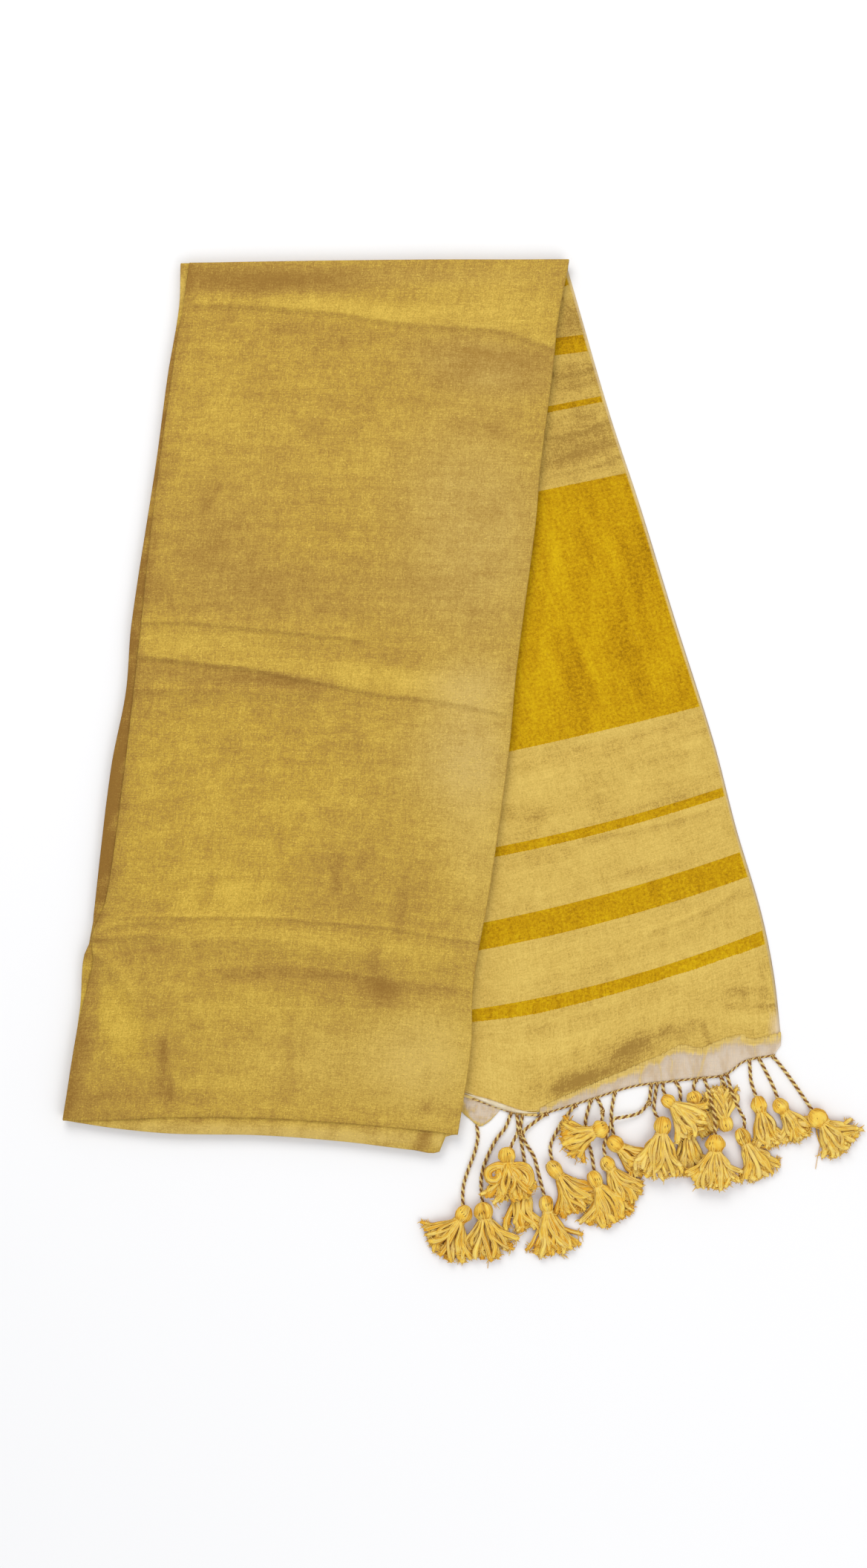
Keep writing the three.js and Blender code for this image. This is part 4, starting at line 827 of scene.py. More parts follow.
@made_once
def woven_group(name):
    """Threads of a plain weave, from cloth coordinates in metres: uneven weft and warp, glints of
    metal yarn, and the height of the threads"""
    outputs = [(label, "NodeSocketFloat") for label in ("Weft", "Warp", "Grain", "Glint", "Height")]
    group, start, end = new_group(name, [("Cloth", "NodeSocketVector")], outputs)
    cloth = stretched(group, start.outputs["Cloth"], PER_METRE)
    weft = noise_value(group, stretched(group, cloth, (0.07, 1.5, 0)), 1.0, 4, 0.65)
    warp = noise_value(group, stretched(group, cloth, (1.5, 0.09, 0)), 1.0, 4, 0.65)
    cells = add_node(
        group, "ShaderNodeTexVoronoi", {"Vector": stretched(group, cloth, (0.95, 1.4, 1)), "Scale": 1.0}
    )
    tints = add_node(group, "ShaderNodeSeparateColor", {0: cells.outputs["Color"]}).outputs
    grain = noise_value(group, cloth, 1.5, 3, 0.75)
    speckle = between(group, tints[1], 0, 1, 0, 0.55)
    grain = added(group, between(group, grain, 0.3, 0.7, 0.0, 0.45), speckle)
    glint = between(group, tints[0], 0.74, 0.98)
    glint = times(group, glint, between(group, cells.outputs["Distance"], 0.8, 0.15))
    halves = []
    for axis, pitch in THREADS:
        part = add_node(group, "ShaderNodeSeparateXYZ", {0: cloth}).outputs[axis]
        turn = times(group, part, 2 * math.pi / pitch)
        halves.append(calculate(group, "SINE", turn))
    threads = added(group, halves[0], halves[1])
    height = calculate(group, "MULTIPLY_ADD", threads, 0.2, times(group, grain, 2.0))
    height = added(group, height, weft)
    for place, value in enumerate((weft, warp, grain, glint, height)):
        group.links.new(value, end.inputs[place])
    return group


@made_once
def mottle_group(name):
    """Uneven shine of a soft cloth: broad clouds and short upright smudges, from -1 to 1"""
    group, start, end = new_group(name, [("Cloth", "NodeSocketVector")], [("Value", "NodeSocketFloat")])
    cloth = stretched(group, start.outputs["Cloth"], PER_METRE)
    clouds = noise_value(group, cloth, 0.035, 4, 0.6)
    smudges = noise_value(group, stretched(group, cloth, (0.13, 0.05, 0)), 1.0, 4, 0.62)
    bands = noise_value(group, stretched(group, cloth, (0.014, 0.12, 0)), 1.0, 3, 0.6)
    total = added(group, clouds, smudges)
    total = added(group, total, bands)
    group.links.new(between(group, total, 1.05, 1.95, -1.0, 1.0), end.inputs["Value"])
    return group


def colour_ramp(tree, value, stops):
    ramp = add_node(tree, "ShaderNodeValToRGB", {0: value})
    elements = ramp.color_ramp.elements
    while len(elements) < len(stops):
        elements.new(0.5)
    for element, (position, tint) in zip(elements, stops):
        element.position = position
        element.color = tint
    return ramp.outputs[0]


def new_material(name):
    material = bpy.data.materials.new(name)
    material.use_nodes = True
    tree = material.node_tree
    shader = next(node for node in tree.nodes if node.type == "BSDF_PRINCIPLED")
    return material, tree, shader


def cloth_coordinates(tree):
    return add_node(tree, "ShaderNodeUVMap", uv_map="cloth").outputs[0]


def tissue_tone(tree, cloth, threads):
    """How much the tissue shines at a point: painted tone, uneven shine and single threads"""
    shine = use_group(tree, mottle_group("Uneven shine"), {"Cloth": cloth}).outputs[0]
    tone = calculate(tree, "MULTIPLY_ADD", shine, 0.34, attribute_value(tree, "tone"))
    streaks = added(tree, threads.outputs["Weft"], threads.outputs["Warp"])
    tone = added(tree, tone, between(tree, streaks, 0.7, 1.3, -0.4, 0.4))
    tone = added(tree, tone, between(tree, threads.outputs["Grain"], 0, 1, -0.55, 0.55))
    return between(tree, tone, -1.0, 1.0)


def woven_finish(tree, shader, threads, tint, metal, rough, bump):
    """Sets a woven metal tissue's colour, gloss and thread relief"""
    shader.inputs["Specular IOR Level"].default_value = 0.08
    tree.links.new(tint, shader.inputs["Base Color"])
    glint = threads.outputs["Glint"]
    tree.links.new(calculate(tree, "MULTIPLY_ADD", glint, 0.25, metal), shader.inputs["Metallic"])
    tree.links.new(calculate(tree, "MULTIPLY_ADD", glint, -0.12, rough), shader.inputs["Roughness"])
    relief = add_node(
        tree, "ShaderNodeBump", {"Height": threads.outputs["Height"], "Strength": bump, "Distance": 0.0002}
    )
    tree.links.new(relief.outputs[0], shader.inputs["Normal"])


@made_once
def tissue_material(name):
    """Gold tissue of the body: tan warp, fine gold weft"""
    material, tree, shader = new_material(name)
    palette = colours()
    cloth = cloth_coordinates(tree)
    threads = use_group(tree, woven_group("Woven threads"), {"Cloth": cloth})
    tone = tissue_tone(tree, cloth, threads)
    tint = colour_ramp(
        tree, tone,
        [(0.05, palette.brown), (0.36, palette.tan), (0.6, palette.gold), (0.95, palette.bright)],
    )
    matte = times(tree, attribute_value(tree, "matte"), 0.6)
    matte = clamped(tree, matte)
    pale = mixed(tree, between(tree, tone, 0.2, 0.9), palette.tan, palette.matte)
    tint = mixed(tree, matte, tint, pale)
    glint = times(tree, threads.outputs["Glint"], between(tree, tone, 0.2, 0.9, 0.05, 0.5))
    tint = mixed(tree, glint, tint, palette.glint)
    woven_finish(tree, shader, threads, tint, 0.3, 0.5, 0.5)
    return material


@made_once
def panel_material(name):
    """The end panel: a paler ground crossed by dense mustard-gold stripes, with a pale selvedge"""
    material, tree, shader = new_material(name)
    palette = colours()
    cloth = cloth_coordinates(tree)
    threads = use_group(tree, woven_group("Woven threads"), {"Cloth": cloth})
    tone = tissue_tone(tree, cloth, threads)
    ground = colour_ramp(
        tree, tone, [(0.05, palette.panel_shade), (0.45, palette.panel_tan), (0.85, palette.panel_gold)]
    )
    brushed = noise_value(tree, stretched(tree, cloth, (110, 14, 0)), 1.0, 3, 0.6)
    speckle = noise_value(tree, stretched(tree, cloth, PER_METRE), 0.42, 4, 0.7)
    brushed = between(tree, brushed, 0.3, 0.7, -0.02, 0.2)
    dense = added(tree, between(tree, speckle, 0.3, 0.7, -0.3, 0.3), brushed)
    dense = calculate(tree, "MULTIPLY_ADD", tone, 0.7, dense)
    band = colour_ramp(
        tree, dense, [(0.08, palette.stripe_deep), (0.42, palette.stripe), (0.9, palette.stripe_bright)]
    )
    parts = add_node(tree, "ShaderNodeSeparateXYZ", {0: cloth})
    from_selvedge, down = parts.outputs[0], parts.outputs[1]
    ragged = between(tree, threads.outputs["Warp"], 0.2, 0.8, -0.0006, 0.0006)
    down = added(tree, down, ragged)
    striped = None
    for stripe in STRIPES:
        within = calculate(tree, "COMPARE", down, stripe.down * MM, stripe.width * MM / 2)
        striped = within if striped is None else calculate(tree, "MAXIMUM", striped, within)
    inside = between(tree, from_selvedge, 0.0022, 0.003)
    tint = mixed(tree, times(tree, striped, inside), ground, band)
    edge = between(tree, from_selvedge, 0.0024, 0.0012)
    tint = mixed(tree, times(tree, edge, 0.6), tint, palette.selvedge)
    line = between(tree, from_selvedge, 0.0008, 0.0002, 0.0, 0.6)
    line = times(tree, line, attribute_value(tree, "line"))
    tint = mixed(tree, line, tint, palette.selvedge_line)
    ending = attribute_value(tree, "ending")
    ending = added(tree, ending, between(tree, threads.outputs["Warp"], 0.3, 0.7, -0.25, 0.25))
    ending = between(tree, ending, 0.2, 1.0, 0.0, 0.8)
    tint = mixed(tree, ending, tint, palette.sheer)
    woven_finish(tree, shader, threads, tint, 0.22, 0.5, 0.5)
    return material


@made_once
def sheer_material(name):
    """Sheer cloth with no gold weft: fine pale threads that the floor shows through"""
    material, tree, shader = new_material(name)
    palette = colours()
    cloth = cloth_coordinates(tree)
    threads = use_group(tree, woven_group("Woven threads"), {"Cloth": cloth})
    streaks = added(tree, threads.outputs["Weft"], threads.outputs["Warp"])
    shade = between(tree, streaks, 0.6, 1.4, 0.9, 1.08)
    tint = mixed(tree, 1.0, palette.sheer, shade, "MULTIPLY")
    # Gathers are painted in shade, and the cloth there covers more as it is denser
    fold = attribute_value(tree, "fold")
    tint = mixed(tree, between(tree, fold, 0.1, 1.2, 0.0, 0.7), tint, palette.sheer_fold_shade)
    ragged = between(tree, threads.outputs["Warp"], 0.3, 0.7, -0.35, 0.35)
    gold = between(tree, added(tree, attribute_value(tree, "gold"), ragged), 0.15, 0.95)
    rich = mixed(tree, between(tree, streaks, 0.6, 1.2), palette.panel_shade, palette.panel_gold)
    tint = mixed(tree, gold, tint, rich)
    tree.links.new(tint, shader.inputs["Base Color"])
    cover = between(tree, streaks, 0.6, 1.4, 0.3, 0.5)
    cover = calculate(tree, "MULTIPLY_ADD", gold, 0.6, cover)
    cover = added(tree, cover, between(tree, fold, 0.0, 1.2, 0.0, 0.4))
    cover = clamped(tree, cover)
    starts = between(tree, threads.outputs["Warp"], 0.3, 0.7, -0.4, 0.4)
    starts = added(tree, attribute_value(tree, "cover"), starts)
    cover = times(tree, cover, between(tree, starts, 0.48, 0.52))
    tree.links.new(cover, shader.inputs["Alpha"])
    shader.inputs["Roughness"].default_value = 0.7
    return material


@made_once
def yarn_material(name, tint, light, crevice_shade=None, fibre=5200, rough=0.85):
    """Matte yarn with fine fibres and an uneven dye, with painted shade between the yarns and on their
    steep sides
    """
    material, tree, shader = new_material(name)
    place = add_node(tree, "ShaderNodeTexCoord").outputs["Object"]
    dye = noise_value(tree, place, 160, 2, 0.5)
    fibres = noise_value(tree, stretched(tree, place, (1, 1, 0.4)), fibre, 2, 0.6)
    mixed_tint = mixed(tree, between(tree, dye, 0.3, 0.7), tint, light)
    # Painted shade between the yarns and on their steep sides
    if crevice_shade:
        uneven = between(tree, fibres, 0.3, 0.7, -0.12, 0.12)
        depth = added(tree, attribute_value(tree, "crevice_shade"), uneven)
        mixed_tint = mixed(tree, between(tree, depth, 0.15, 1.0), mixed_tint, crevice_shade)
    shade = between(tree, fibres, 0.25, 0.75, 0.82, 1.12)
    tree.links.new(mixed(tree, 1.0, mixed_tint, shade, "MULTIPLY"), shader.inputs["Base Color"])
    relief = add_node(tree, "ShaderNodeBump", {"Height": fibres, "Strength": 0.4, "Distance": 0.0002})
    tree.links.new(relief.outputs[0], shader.inputs["Normal"])
    shader.inputs["Roughness"].default_value = rough
    shader.inputs["Specular IOR Level"].default_value = 0.2
    shader.inputs["Sheen Weight"].default_value = 0.06
    return material


def cord_materials():
    palette = colours()
    return [
        yarn_material("Brown ply", palette.cord_brown, palette.brown_light),
        yarn_material("Gold ply", palette.cord_gold, palette.gold_light, rough=0.6),
    ]


def cotton_materials():
    palette = colours()
    light, middle, deep = palette.cotton_light, palette.cotton, palette.cotton_deep
    crevice_shade = palette.cotton_crevice_shade
    return [
        yarn_material("Cotton", middle, light, crevice_shade),
        yarn_material("Light cotton", light, palette.cotton_pale, crevice_shade),
        yarn_material("Deep cotton", deep, middle, crevice_shade),
    ]


def paint_crevice_shade(piece):
    """Paint shade on the steep sides of the yarns, where light reaches least, as an attribute for the
    material
    """
    mesh = piece.data
    normals = np.empty(len(mesh.vertices) * 3)
    mesh.vertex_normals.foreach_get("vector", normals)
    steep = 1 - smooth_step(normals.reshape(-1, 3)[:, 2], -0.2, 0.7)
    mesh.attributes.new("crevice_shade", "FLOAT", "POINT").data.foreach_set("value", steep)


def hand_in(piece, slot, *nodes):
    """Attaches the piece to the root body, and hides the nodes that it stands for; its material's slot is
    not used
    """
    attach(piece, "root")
    if nodes:
        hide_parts(*nodes)


def hand_in_sheet(cloth, wall, material, slot, node, flat, held, rests_on, **area):
    """Finishes a cloth and attaches it to the root body in place of its part; its cut's flat size in metres
    and what it lies on are not used
    """
    finish_cloth(cloth, wall, material)
    hand_in(cloth, slot, node)


def joined(pieces, name):
    """One object from several, named for the piece"""
    deselect_all()
    for piece in pieces:
        piece.select_set(True)
    bpy.context.view_layer.objects.active = pieces[0]
    bpy.ops.object.join()
    whole = bpy.context.object
    whole.name = whole.data.name = name
    return whole


def strands_object(name, strands, materials, outline=None):
    """A mesh of strands; each strand is its points and radii in mm, and its material's place"""
    curve = bpy.data.curves.new(name, "CURVE")
    curve.dimensions = "3D"
    curve.twist_mode = "Z_UP"
    if outline:
        curve.bevel_mode = "OBJECT"
        curve.bevel_object = outline
    else:
        curve.bevel_depth = MM
        curve.bevel_resolution = 0
    curve.use_fill_caps = True
    for material in materials:
        curve.materials.append(material)
    for points, radii, place in strands:
        spline = curve.splines.new("POLY")
        spline.points.add(len(points) - 1)
        moved = (np.asarray(points) + (*TO_FRAME, 0)) * MM
        spline.points.foreach_set("co", np.c_[moved, np.ones(len(points))].ravel())
        spline.points.foreach_set("radius", np.broadcast_to(radii, len(points)).astype(float))
        spline.material_index = place
    strands_curve = bpy.data.objects.new(name, curve)
    bpy.context.collection.objects.link(strands_curve)
    deselect_all()
    strands_curve.select_set(True)
    bpy.context.view_layer.objects.active = strands_curve
    bpy.ops.object.convert(target="MESH")
    mesh_object = bpy.context.object
    bpy.ops.object.shade_smooth()
    return mesh_object


def lock_outline():
    """The outline of a lock cut across: the yarns make soft lobes on a flattened ring"""
    lobes, points = 6, 12
    turns = np.linspace(0, 2 * math.pi, points, endpoint=False)
    radii = (1 + 0.15 * np.cos(turns * lobes)) * MM
    curve = bpy.data.curves.new("lock_outline", "CURVE")
    curve.dimensions = "2D"
    spline = curve.splines.new("POLY")
    spline.points.add(points - 1)
    places = np.c_[1.2 * radii * np.cos(turns), -0.85 * radii * np.sin(turns), 0 * turns, 1 + 0 * turns]
    spline.points.foreach_set("co", places.ravel())
    spline.use_cyclic_u = True
    outline = bpy.data.objects.new("lock_outline", curve)
    bpy.context.collection.objects.link(outline)
    return outline


def twisted_plies(way, ply, pitch, steps=10):
    """Two plies twisted round each other along a way: their points"""
    way = smooth_way(way, pitch / steps)
    along = unit(np.gradient(way, axis=0))
    sideways = unit(np.cross(along, UP))
    upwards = np.cross(sideways, along)
    travelled = np.r_[0, np.cumsum(np.linalg.norm(np.diff(way, axis=0), axis=1))]
    plies = []
    for start in (0, math.pi):
        turn = (2 * math.pi * travelled / pitch + start)[:, None]
        plies.append(way + 0.93 * ply * (np.cos(turn) * sideways + np.sin(turn) * upwards))
    return plies


# How far the edges of the stack's three tiers of hidden layers stand out, from the lowest up
TIERS_OUT = {
    "left": (-1.5, 0.2, -2.5), "right": (-1.6, -1.6, -2.8),
    "top": (-0.5, 0.3, -1.2), "bottom": (-3, -1, -5),
}
# The panel's tuck lies beside the layers below this height, this far from them
TUCK_HEIGHT, TUCK_ROOM = 2.4, 2.5
# What is left free above each hidden layer
LAYER_GAP = 0.02
# How far each edge stands back, and how much further in and out it strays from layer to layer
EDGE_BACK = 0.6
EDGE_STRAYS = {"left": (-0.8, 0.5), "right": (-0.8, 0.4), "top": (-0.5, 0.3), "bottom": (-1, 0.5)}
# How far a rolled edge runs on under its layer
ROLL_TUCK, HIDDEN_TUCK = 6, 4
# Widths of the upper layers' cuts, with what turns under at the fold, as a share of the stack's
SECOND_LAYER_CUT, TOP_LAYER_CUT = 1.04, 1.02


class SAREE_OT_folded_stack(bpy.types.Operator):
    """Build the hidden layers of the stack as thin folded layers, uneven at their edges"""

    bl_idname = "saree.folded_stack"
    bl_label = "Hidden layers"

    def execute(self, context):
        chance = random.Random(4)
        count = sizes().hidden_layers
        low, high = (corner.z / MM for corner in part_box("folded_stack"))
        each = (high - low) / count
        layers = []
        for k in range(count):
            out = {side: TIERS_OUT[side][k * 3 // count] for side in EDGE_STRAYS}
            if low + (k + 1) * each < TUCK_HEIGHT:
                out["right"] = -PANEL_TUCK - TUCK_ROOM
            for side, strays in EDGE_STRAYS.items():
                out[side] += chance.uniform(*strays) - EDGE_BACK
            layer = Layer(**out)
            level = low + (k + 1) * each - LAYER_GAP
            seed = chance.random()

            def surface(across, down, layer=layer, level=level, seed=seed):
                x, y = layer.point(across, down).T
                edge = undulation(x, y, 60, seed) * 0.5
                middle = np.abs(across - 0.5) * 2
                return x + edge * middle * np.sign(across - 0.5), y + edge * 0.5, np.full_like(x, level)

            # The hidden layers are painted in shade, darker than the layers above, with uneven shine
            def paint(x, y, seed=seed):
                return undulation(x, y, 90, seed) * 0.4 - 0.35, np.zeros_like(x)

            radius = each / 2 - LAYER_GAP
            layers.append(rolled_layer(f"layer_{k}", surface, 10, 30, radius, HIDDEN_TUCK, paint))
        stack = joined(layers, "stack_layers")
        cut = (STACK_WIDTH * 4 * MM, STACK_LENGTH * count / 4 * MM)
        hand_in_sheet(
            stack, sizes().thin_wall, tissue_material("Gold tissue"), "gold_tissue", "folded_stack",
            flat=cut, held="folded", rests_on="floor",
        )
        return {"FINISHED"}


class SAREE_OT_second_layer(bpy.types.Operator):
    """Build the second layer, which shows along the left edge and as a lip along the bottom"""

    bl_idname = "saree.second_layer"
    bl_label = "Second layer"

    def execute(self, context):
        radius = sizes().fold_radius / MM
        layer = Layer(left=-radius, right=-radius, top=-radius, bottom=-radius)
        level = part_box("second_layer")[1].z / MM

        def surface(across, down):
            x, y = layer.point(across, down).T
            return x, y, level + 0.15 * undulation(x, y, 40, 11)

        def paint(x, y):
            tone, matte = patch_field(SECOND_LAYER_PATCHES, x, y)
            return tone - 0.1 + 0.3 * undulation(x, y, 16, 77) + 0.2 * undulation(x, y, 45, 78), matte

        cloth = rolled_layer("second_layer_cloth", surface, 70, 130, radius, ROLL_TUCK, paint)
        hand_in_sheet(
            cloth, sizes().cloth_wall, tissue_material("Gold tissue"), "gold_tissue", "second_layer",
            flat=(STACK_WIDTH * MM * SECOND_LAYER_CUT, STACK_LENGTH * MM), held="folded",
            rests_on="stack_layers",
        )
        return {"FINISHED"}


class SAREE_OT_top_layer(bpy.types.Operator):
    """Build the top layer with its creases"""

    bl_idname = "saree.top_layer"
    bl_label = "Top layer"

    def execute(self, context):
        radius = sizes().fold_radius / MM
        layer = Layer(
            TOP_LAYER_LEFT_BOW, FOLD_LINE_BOW, left=-radius, right=-radius, top=-radius, bottom=-radius
        )
        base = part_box("top_layer")[0].z / MM + 2 * radius + 0.1

        def surface(across, down):
            x, y = layer.point(across, down).T
            height, _ = crease_field(TOP_CREASES, x, y)
            height += 0.35 * undulation(x, y, 75, 3) + 0.16 * undulation(x, y, 26, 5)
            return x, y, base + np.maximum(height, -0.35)

        def paint(x, y):
            _, tone = crease_field(TOP_CREASES, x, y)
            more, matte = patch_field(TOP_PATCHES, x, y)
            top, bottom = CORNERS["top_left"][1], CORNERS["bottom_left"][1]
            from_left = x - layer.edge("left", np.clip((top - y) / (top - bottom), 0, 1))[..., 0]
            # Painted shade where the top layer rounds down at its left edge
            rounding_shade = 0.45 * np.exp(-((from_left / 7) ** 2)) * (0.6 + 0.4 * undulation(x, y, 50, 8))
            return tone + more - rounding_shade, matte + 0.15

        rows = 280
        places = uneven_rows(rows, TOP_FOLDED_STRETCHES, closer=2.6)
        cloth = rolled_layer("top_cloth", surface, 110, rows, radius, ROLL_TUCK, paint, places)
        hand_in_sheet(
            cloth, sizes().cloth_wall, tissue_material("Gold tissue"), "gold_tissue", "top_layer",
            flat=(STACK_WIDTH * MM * TOP_LAYER_CUT, STACK_LENGTH * MM), held="folded",
            rests_on="second_layer_cloth",
        )
        return {"FINISHED"}


def panel_place(across, down):
    """Place on the end panel a fraction across it; down runs to 1 at the last stripe, 2 at the end"""
    body = np.minimum(down, 1) * PANEL_WEFTS[-1].down
    lift = smooth_value([(weft.down, weft.lift) for weft in PANEL_WEFTS], body)
    sag = smooth_value([(weft.down, weft.sag) for weft in PANEL_WEFTS], body)
    left_y = PANEL_TOP - body
    right_y = left_y + lift
    left_x, right_x = panel_left(left_y), panel_right(right_y)
    x = left_x + (right_x - left_x) * across
    y = left_y + (right_y - left_y) * across - sag * 4 * across * (1 - across)
    end_left = panel_left(gold_end_y(-10.0))
    end_x = end_left + (SELVEDGE_BOTTOM.x - end_left) * across
    end_y = gold_end_y(end_x)
    share = np.maximum(down - 1, 0)
    x, y = x + (end_x - x) * share, y + (end_y - y) * share
    x = np.where((across >= 1) & (share > 0), panel_right(y), x)
    warp = body + share * 50
    return x, y, warp


class SAREE_OT_end_panel(bpy.types.Operator):
    """Build the striped end panel, fanned out from under the stack"""

    bl_idname = "saree.end_panel"
    bl_label = "End panel"

    def execute(self, context):
        columns, body_rows, end_rows = 104, 250, 26
        cloth, column, row = cloth_grid("panel_cloth", columns, body_rows + end_rows)
        across = column / columns
        down = np.where(row <= body_rows, row / body_rows, 1 + (row - body_rows) / end_rows)
        x, y, warp = panel_place(across, down)
        height, tone = crease_field(PANEL_CREASES, x, y)
        more, _ = patch_field(PANEL_PATCHES, x, y)
        height += 0.22 * undulation(x, y, 60, 21, 1.6) + 0.12 * undulation(x, y, 22, 22, 1.8)
        free = smooth_step(across, 0.1, 0.3) * (1 - smooth_step(down, 1.55, 1.9) * smooth_step(x, 50, 80))
        from_selvedge = panel_right(y) - x
        level = 0.45 + 0.95 * smooth_step(np.minimum(from_selvedge, warp), 0, 7)
        z = level + np.maximum(height, -0.6) * free * smooth_step(from_selvedge, 0, 5)
        off_x, off_y = (x - SELVEDGE_FOOT.x) / 9, (y - SELVEDGE_FOOT.y) / 13
        ending = 1.2 * np.exp(-(off_x**2 + off_y**2))
        line = smooth_step(-y, -220, -160)
        shape_cloth(
            cloth, x, y, z, from_selvedge, warp,
            tone=tone + more + 0.1, ending=ending, line=line,
        )
        hand_in_sheet(
            cloth, sizes().cloth_wall, panel_material("Striped end panel"), "panel_tissue", "end_panel",
            flat=(0.26, 0.63), area=0.105, held="laid", rests_on="floor",
        )
        return {"FINISHED"}


STRIP_OVERLAP = 5
# A fraction of the way across the corner flap, and the y of its free edge there
FLAP_EDGE = [
    (0, -252), (0.12, -262), (0.3, -268.5), (0.5, -274), (0.68, -271), (0.83, -265.5), (1, -258),
]
# Where the strip is gathered, and half the width of the gather
STRIP_GATHERS = [
    (80, 6), (104, 6), (118, 6), (137, 5), (147, 5), (160, 6), (181, 8), (200, 5), (222, 5), (236, 4),
]
ZARI_LINES = [
    ZariLine(137, 0.9, -2, 0.55),
    ZariLine(151, 0.7, 3, 0.6),
    ZariLine(159.6, 0.8, 2, 0.5),
    ZariLine(176, 0.6, 0, 0.4),
    ZariLine(183.5, 1.3, -7, 0.6),
    ZariLine(222, 0.8, 4, 0.4),
]


class SAREE_OT_end_strip(bpy.types.Operator):
    """Build the sheer strip below the panel, and the sheer corner of the layer below"""

    bl_idname = "saree.end_strip"
    bl_label = "Sheer end"

    def strip(self):
        columns, rows = 220, 22
        cloth, column, row = cloth_grid("sheer_strip", columns, rows)
        across, down = column / columns, row / rows
        x = 60 + (SELVEDGE_BOTTOM.x - 60) * across
        top = gold_end_y(x) + STRIP_OVERLAP
        low = np.where(x > 238, np.minimum(hem_y(np.minimum(x, 238)), top - 6), cloth_edge_y(x)) - 0.5
        x = x - 4 * smooth_step(x, 236, SELVEDGE_BOTTOM.x) * smooth_step(down, 0.6, 1)
        y = top + (low - top) * down
        below = top - STRIP_OVERLAP - y
        gathers = np.zeros_like(x)
        for place, half in STRIP_GATHERS:
            for side in (-1.4, -0.5, 0.6, 1.5):
                off = (x - place - side * half * (1.1 - down)) / (half * (0.34 - 0.2 * down))
                gathers += np.exp(-(off**2)) * (0.8 - 0.25 * abs(side))
        ripple = 0.35 * np.sin(x / 2.3 + 0.8 * np.sin(x / 9)) + 0.25 * undulation(x, y, 9, 31)
        free = smooth_step(below, 0, 5)
        waves = (ripple + 0.4 * gathers) * free * smooth_step(1 - down, 0, 0.3)
        z = 1.0 + 0.95 * smooth_step(-below, -9, -0.5) + waves
        cover = smooth_step(below, -STRIP_OVERLAP, -0.5)
        fade = 2.6 * undulation(x, y, 12, 33)
        gold = 1.1 * smooth_step(-below, -5.5 - fade, 0.5 - np.minimum(fade, 0))
        for line in ZARI_LINES:
            off = x - line.x - line.slant * (down - 0.5) - 0.6 * undulation(x, y, 12, 35)
            gold += np.exp(-((off / line.half) ** 2)) * line.gold
        # The gathers are painted in shade, and cover more as the cloth is denser there
        fold = gathers * 0.8 + 0.3 * undulation(x, y, 11, 37, 0.35) + 0.35 * undulation(x, y, 30, 39)
        shape_cloth(cloth, x, y, z, x, y, gold=gold, fold=fold, cover=cover)
        hand_in_sheet(
            cloth, sizes().thin_wall, sheer_material("Sheer end"), "sheer_end", "end_strip",
            flat=(0.19, 0.022), area=0.003, held="laid", rests_on="floor",
        )

    def flap(self):
        columns, rows = 40, 16
        cloth, column, row = cloth_grid("corner_flap_cloth", columns, rows)
        across, down = column / columns, row / rows
        x = -4 + 37 * across
        top = hem_y(x) - 1.2
        y = top + (np.minimum(smooth_value(FLAP_EDGE, across), top - 0.6) - top) * down
        z = 1.0 + 0.3 * np.sin(across * 9) * down * (1 - down) * 3 - 0.3 * down
        crumple = 1.6 * undulation(x, y, 9, 41, 0.5) + 1.1 * undulation(x, y, 5, 43, 2)
        z += np.maximum(crumple, -0.5) * 0.5 * np.sin(down * math.pi)
        gold = 0.9 * smooth_step(down, 0.8, 0.95) + 0.35 * smooth_step(crumple, 0.5, 1.2)
        gold += np.exp(-(((x - 2) / 2.5) ** 2)) * smooth_step(down, 0.2, 0.5)
        gold += 0.8 * np.exp(-(((x - 5) / 2.4) ** 2 + ((y + 264) / 2.2) ** 2))
        # Where the flap is crumpled it is painted in shade, and covers more
        shape_cloth(cloth, x, y, z, x, y, gold=gold, fold=crumple * 0.3 + 0.2, cover=np.ones_like(x))
        hand_in_sheet(
            cloth, sizes().thin_wall, sheer_material("Sheer end"), "sheer_end", "corner_flap",
            flat=(0.037, 0.024), area=0.0005, held="laid", rests_on="floor",
        )

    def execute(self, context):
        self.strip()
        self.flap()
        return {"FINISHED"}


class SAREE_OT_hem(bpy.types.Operator):
    """Build the twisted cord along the hem, and the rolled edge beside the stack"""

    bl_idname = "saree.hem"
    bl_label = "Hem cord"

    def execute(self, context):
        ply, pitch = sizes().cord_ply / MM * 0.62, sizes().cord_pitch / MM * 0.8
        places = np.linspace(HEM_CORD_START, HEM_LINE[-1][0], 90)
        way = hem_cord_point(places)
        way[:, 1] += HEM_CORD_GAP * 0.8
        strands = []
        for place, points in enumerate(twisted_plies(way, ply, pitch)):
            strands.append((points, ply, place))
        cord = strands_object("hem_cord_twist", strands, cord_materials())
        hand_in(cord, "hem_twist", "hem_cord")

        rolled = np.linspace(3, 58, 46)
        edge = np.stack([rolled, hem_y(rolled) + 0.9, np.full_like(rolled, 2.0)], -1)
        width = 0.3 + 1.75 * smooth_step(rolled, 2, 24) * smooth_step(-rolled, -58, -34)
        pale = yarn_material("Sheer yarn", colours().selvedge, colours().selvedge_light)
        gold = cord_materials()[1]
        lines = [(edge, width, 0)]
        for offset, thickness in ((1.9, 0.35), (-1.3, 0.5), (-2.1, 0.42), (-2.8, 0.35)):
            beside = edge + (0, offset * 0.9, -0.5)
            drift = 0.35 * np.sin(rolled / 3 + offset * 4) - 0.4 * np.sign(offset)
            beside[:, 1] += drift * smooth_step(width, 0.3, 1)
            lines.append((beside, thickness, 1))
        roll = strands_object("rolled_hem", lines, [pale, gold])
        hand_in(roll, "sheer_end")
        return {"FINISHED"}


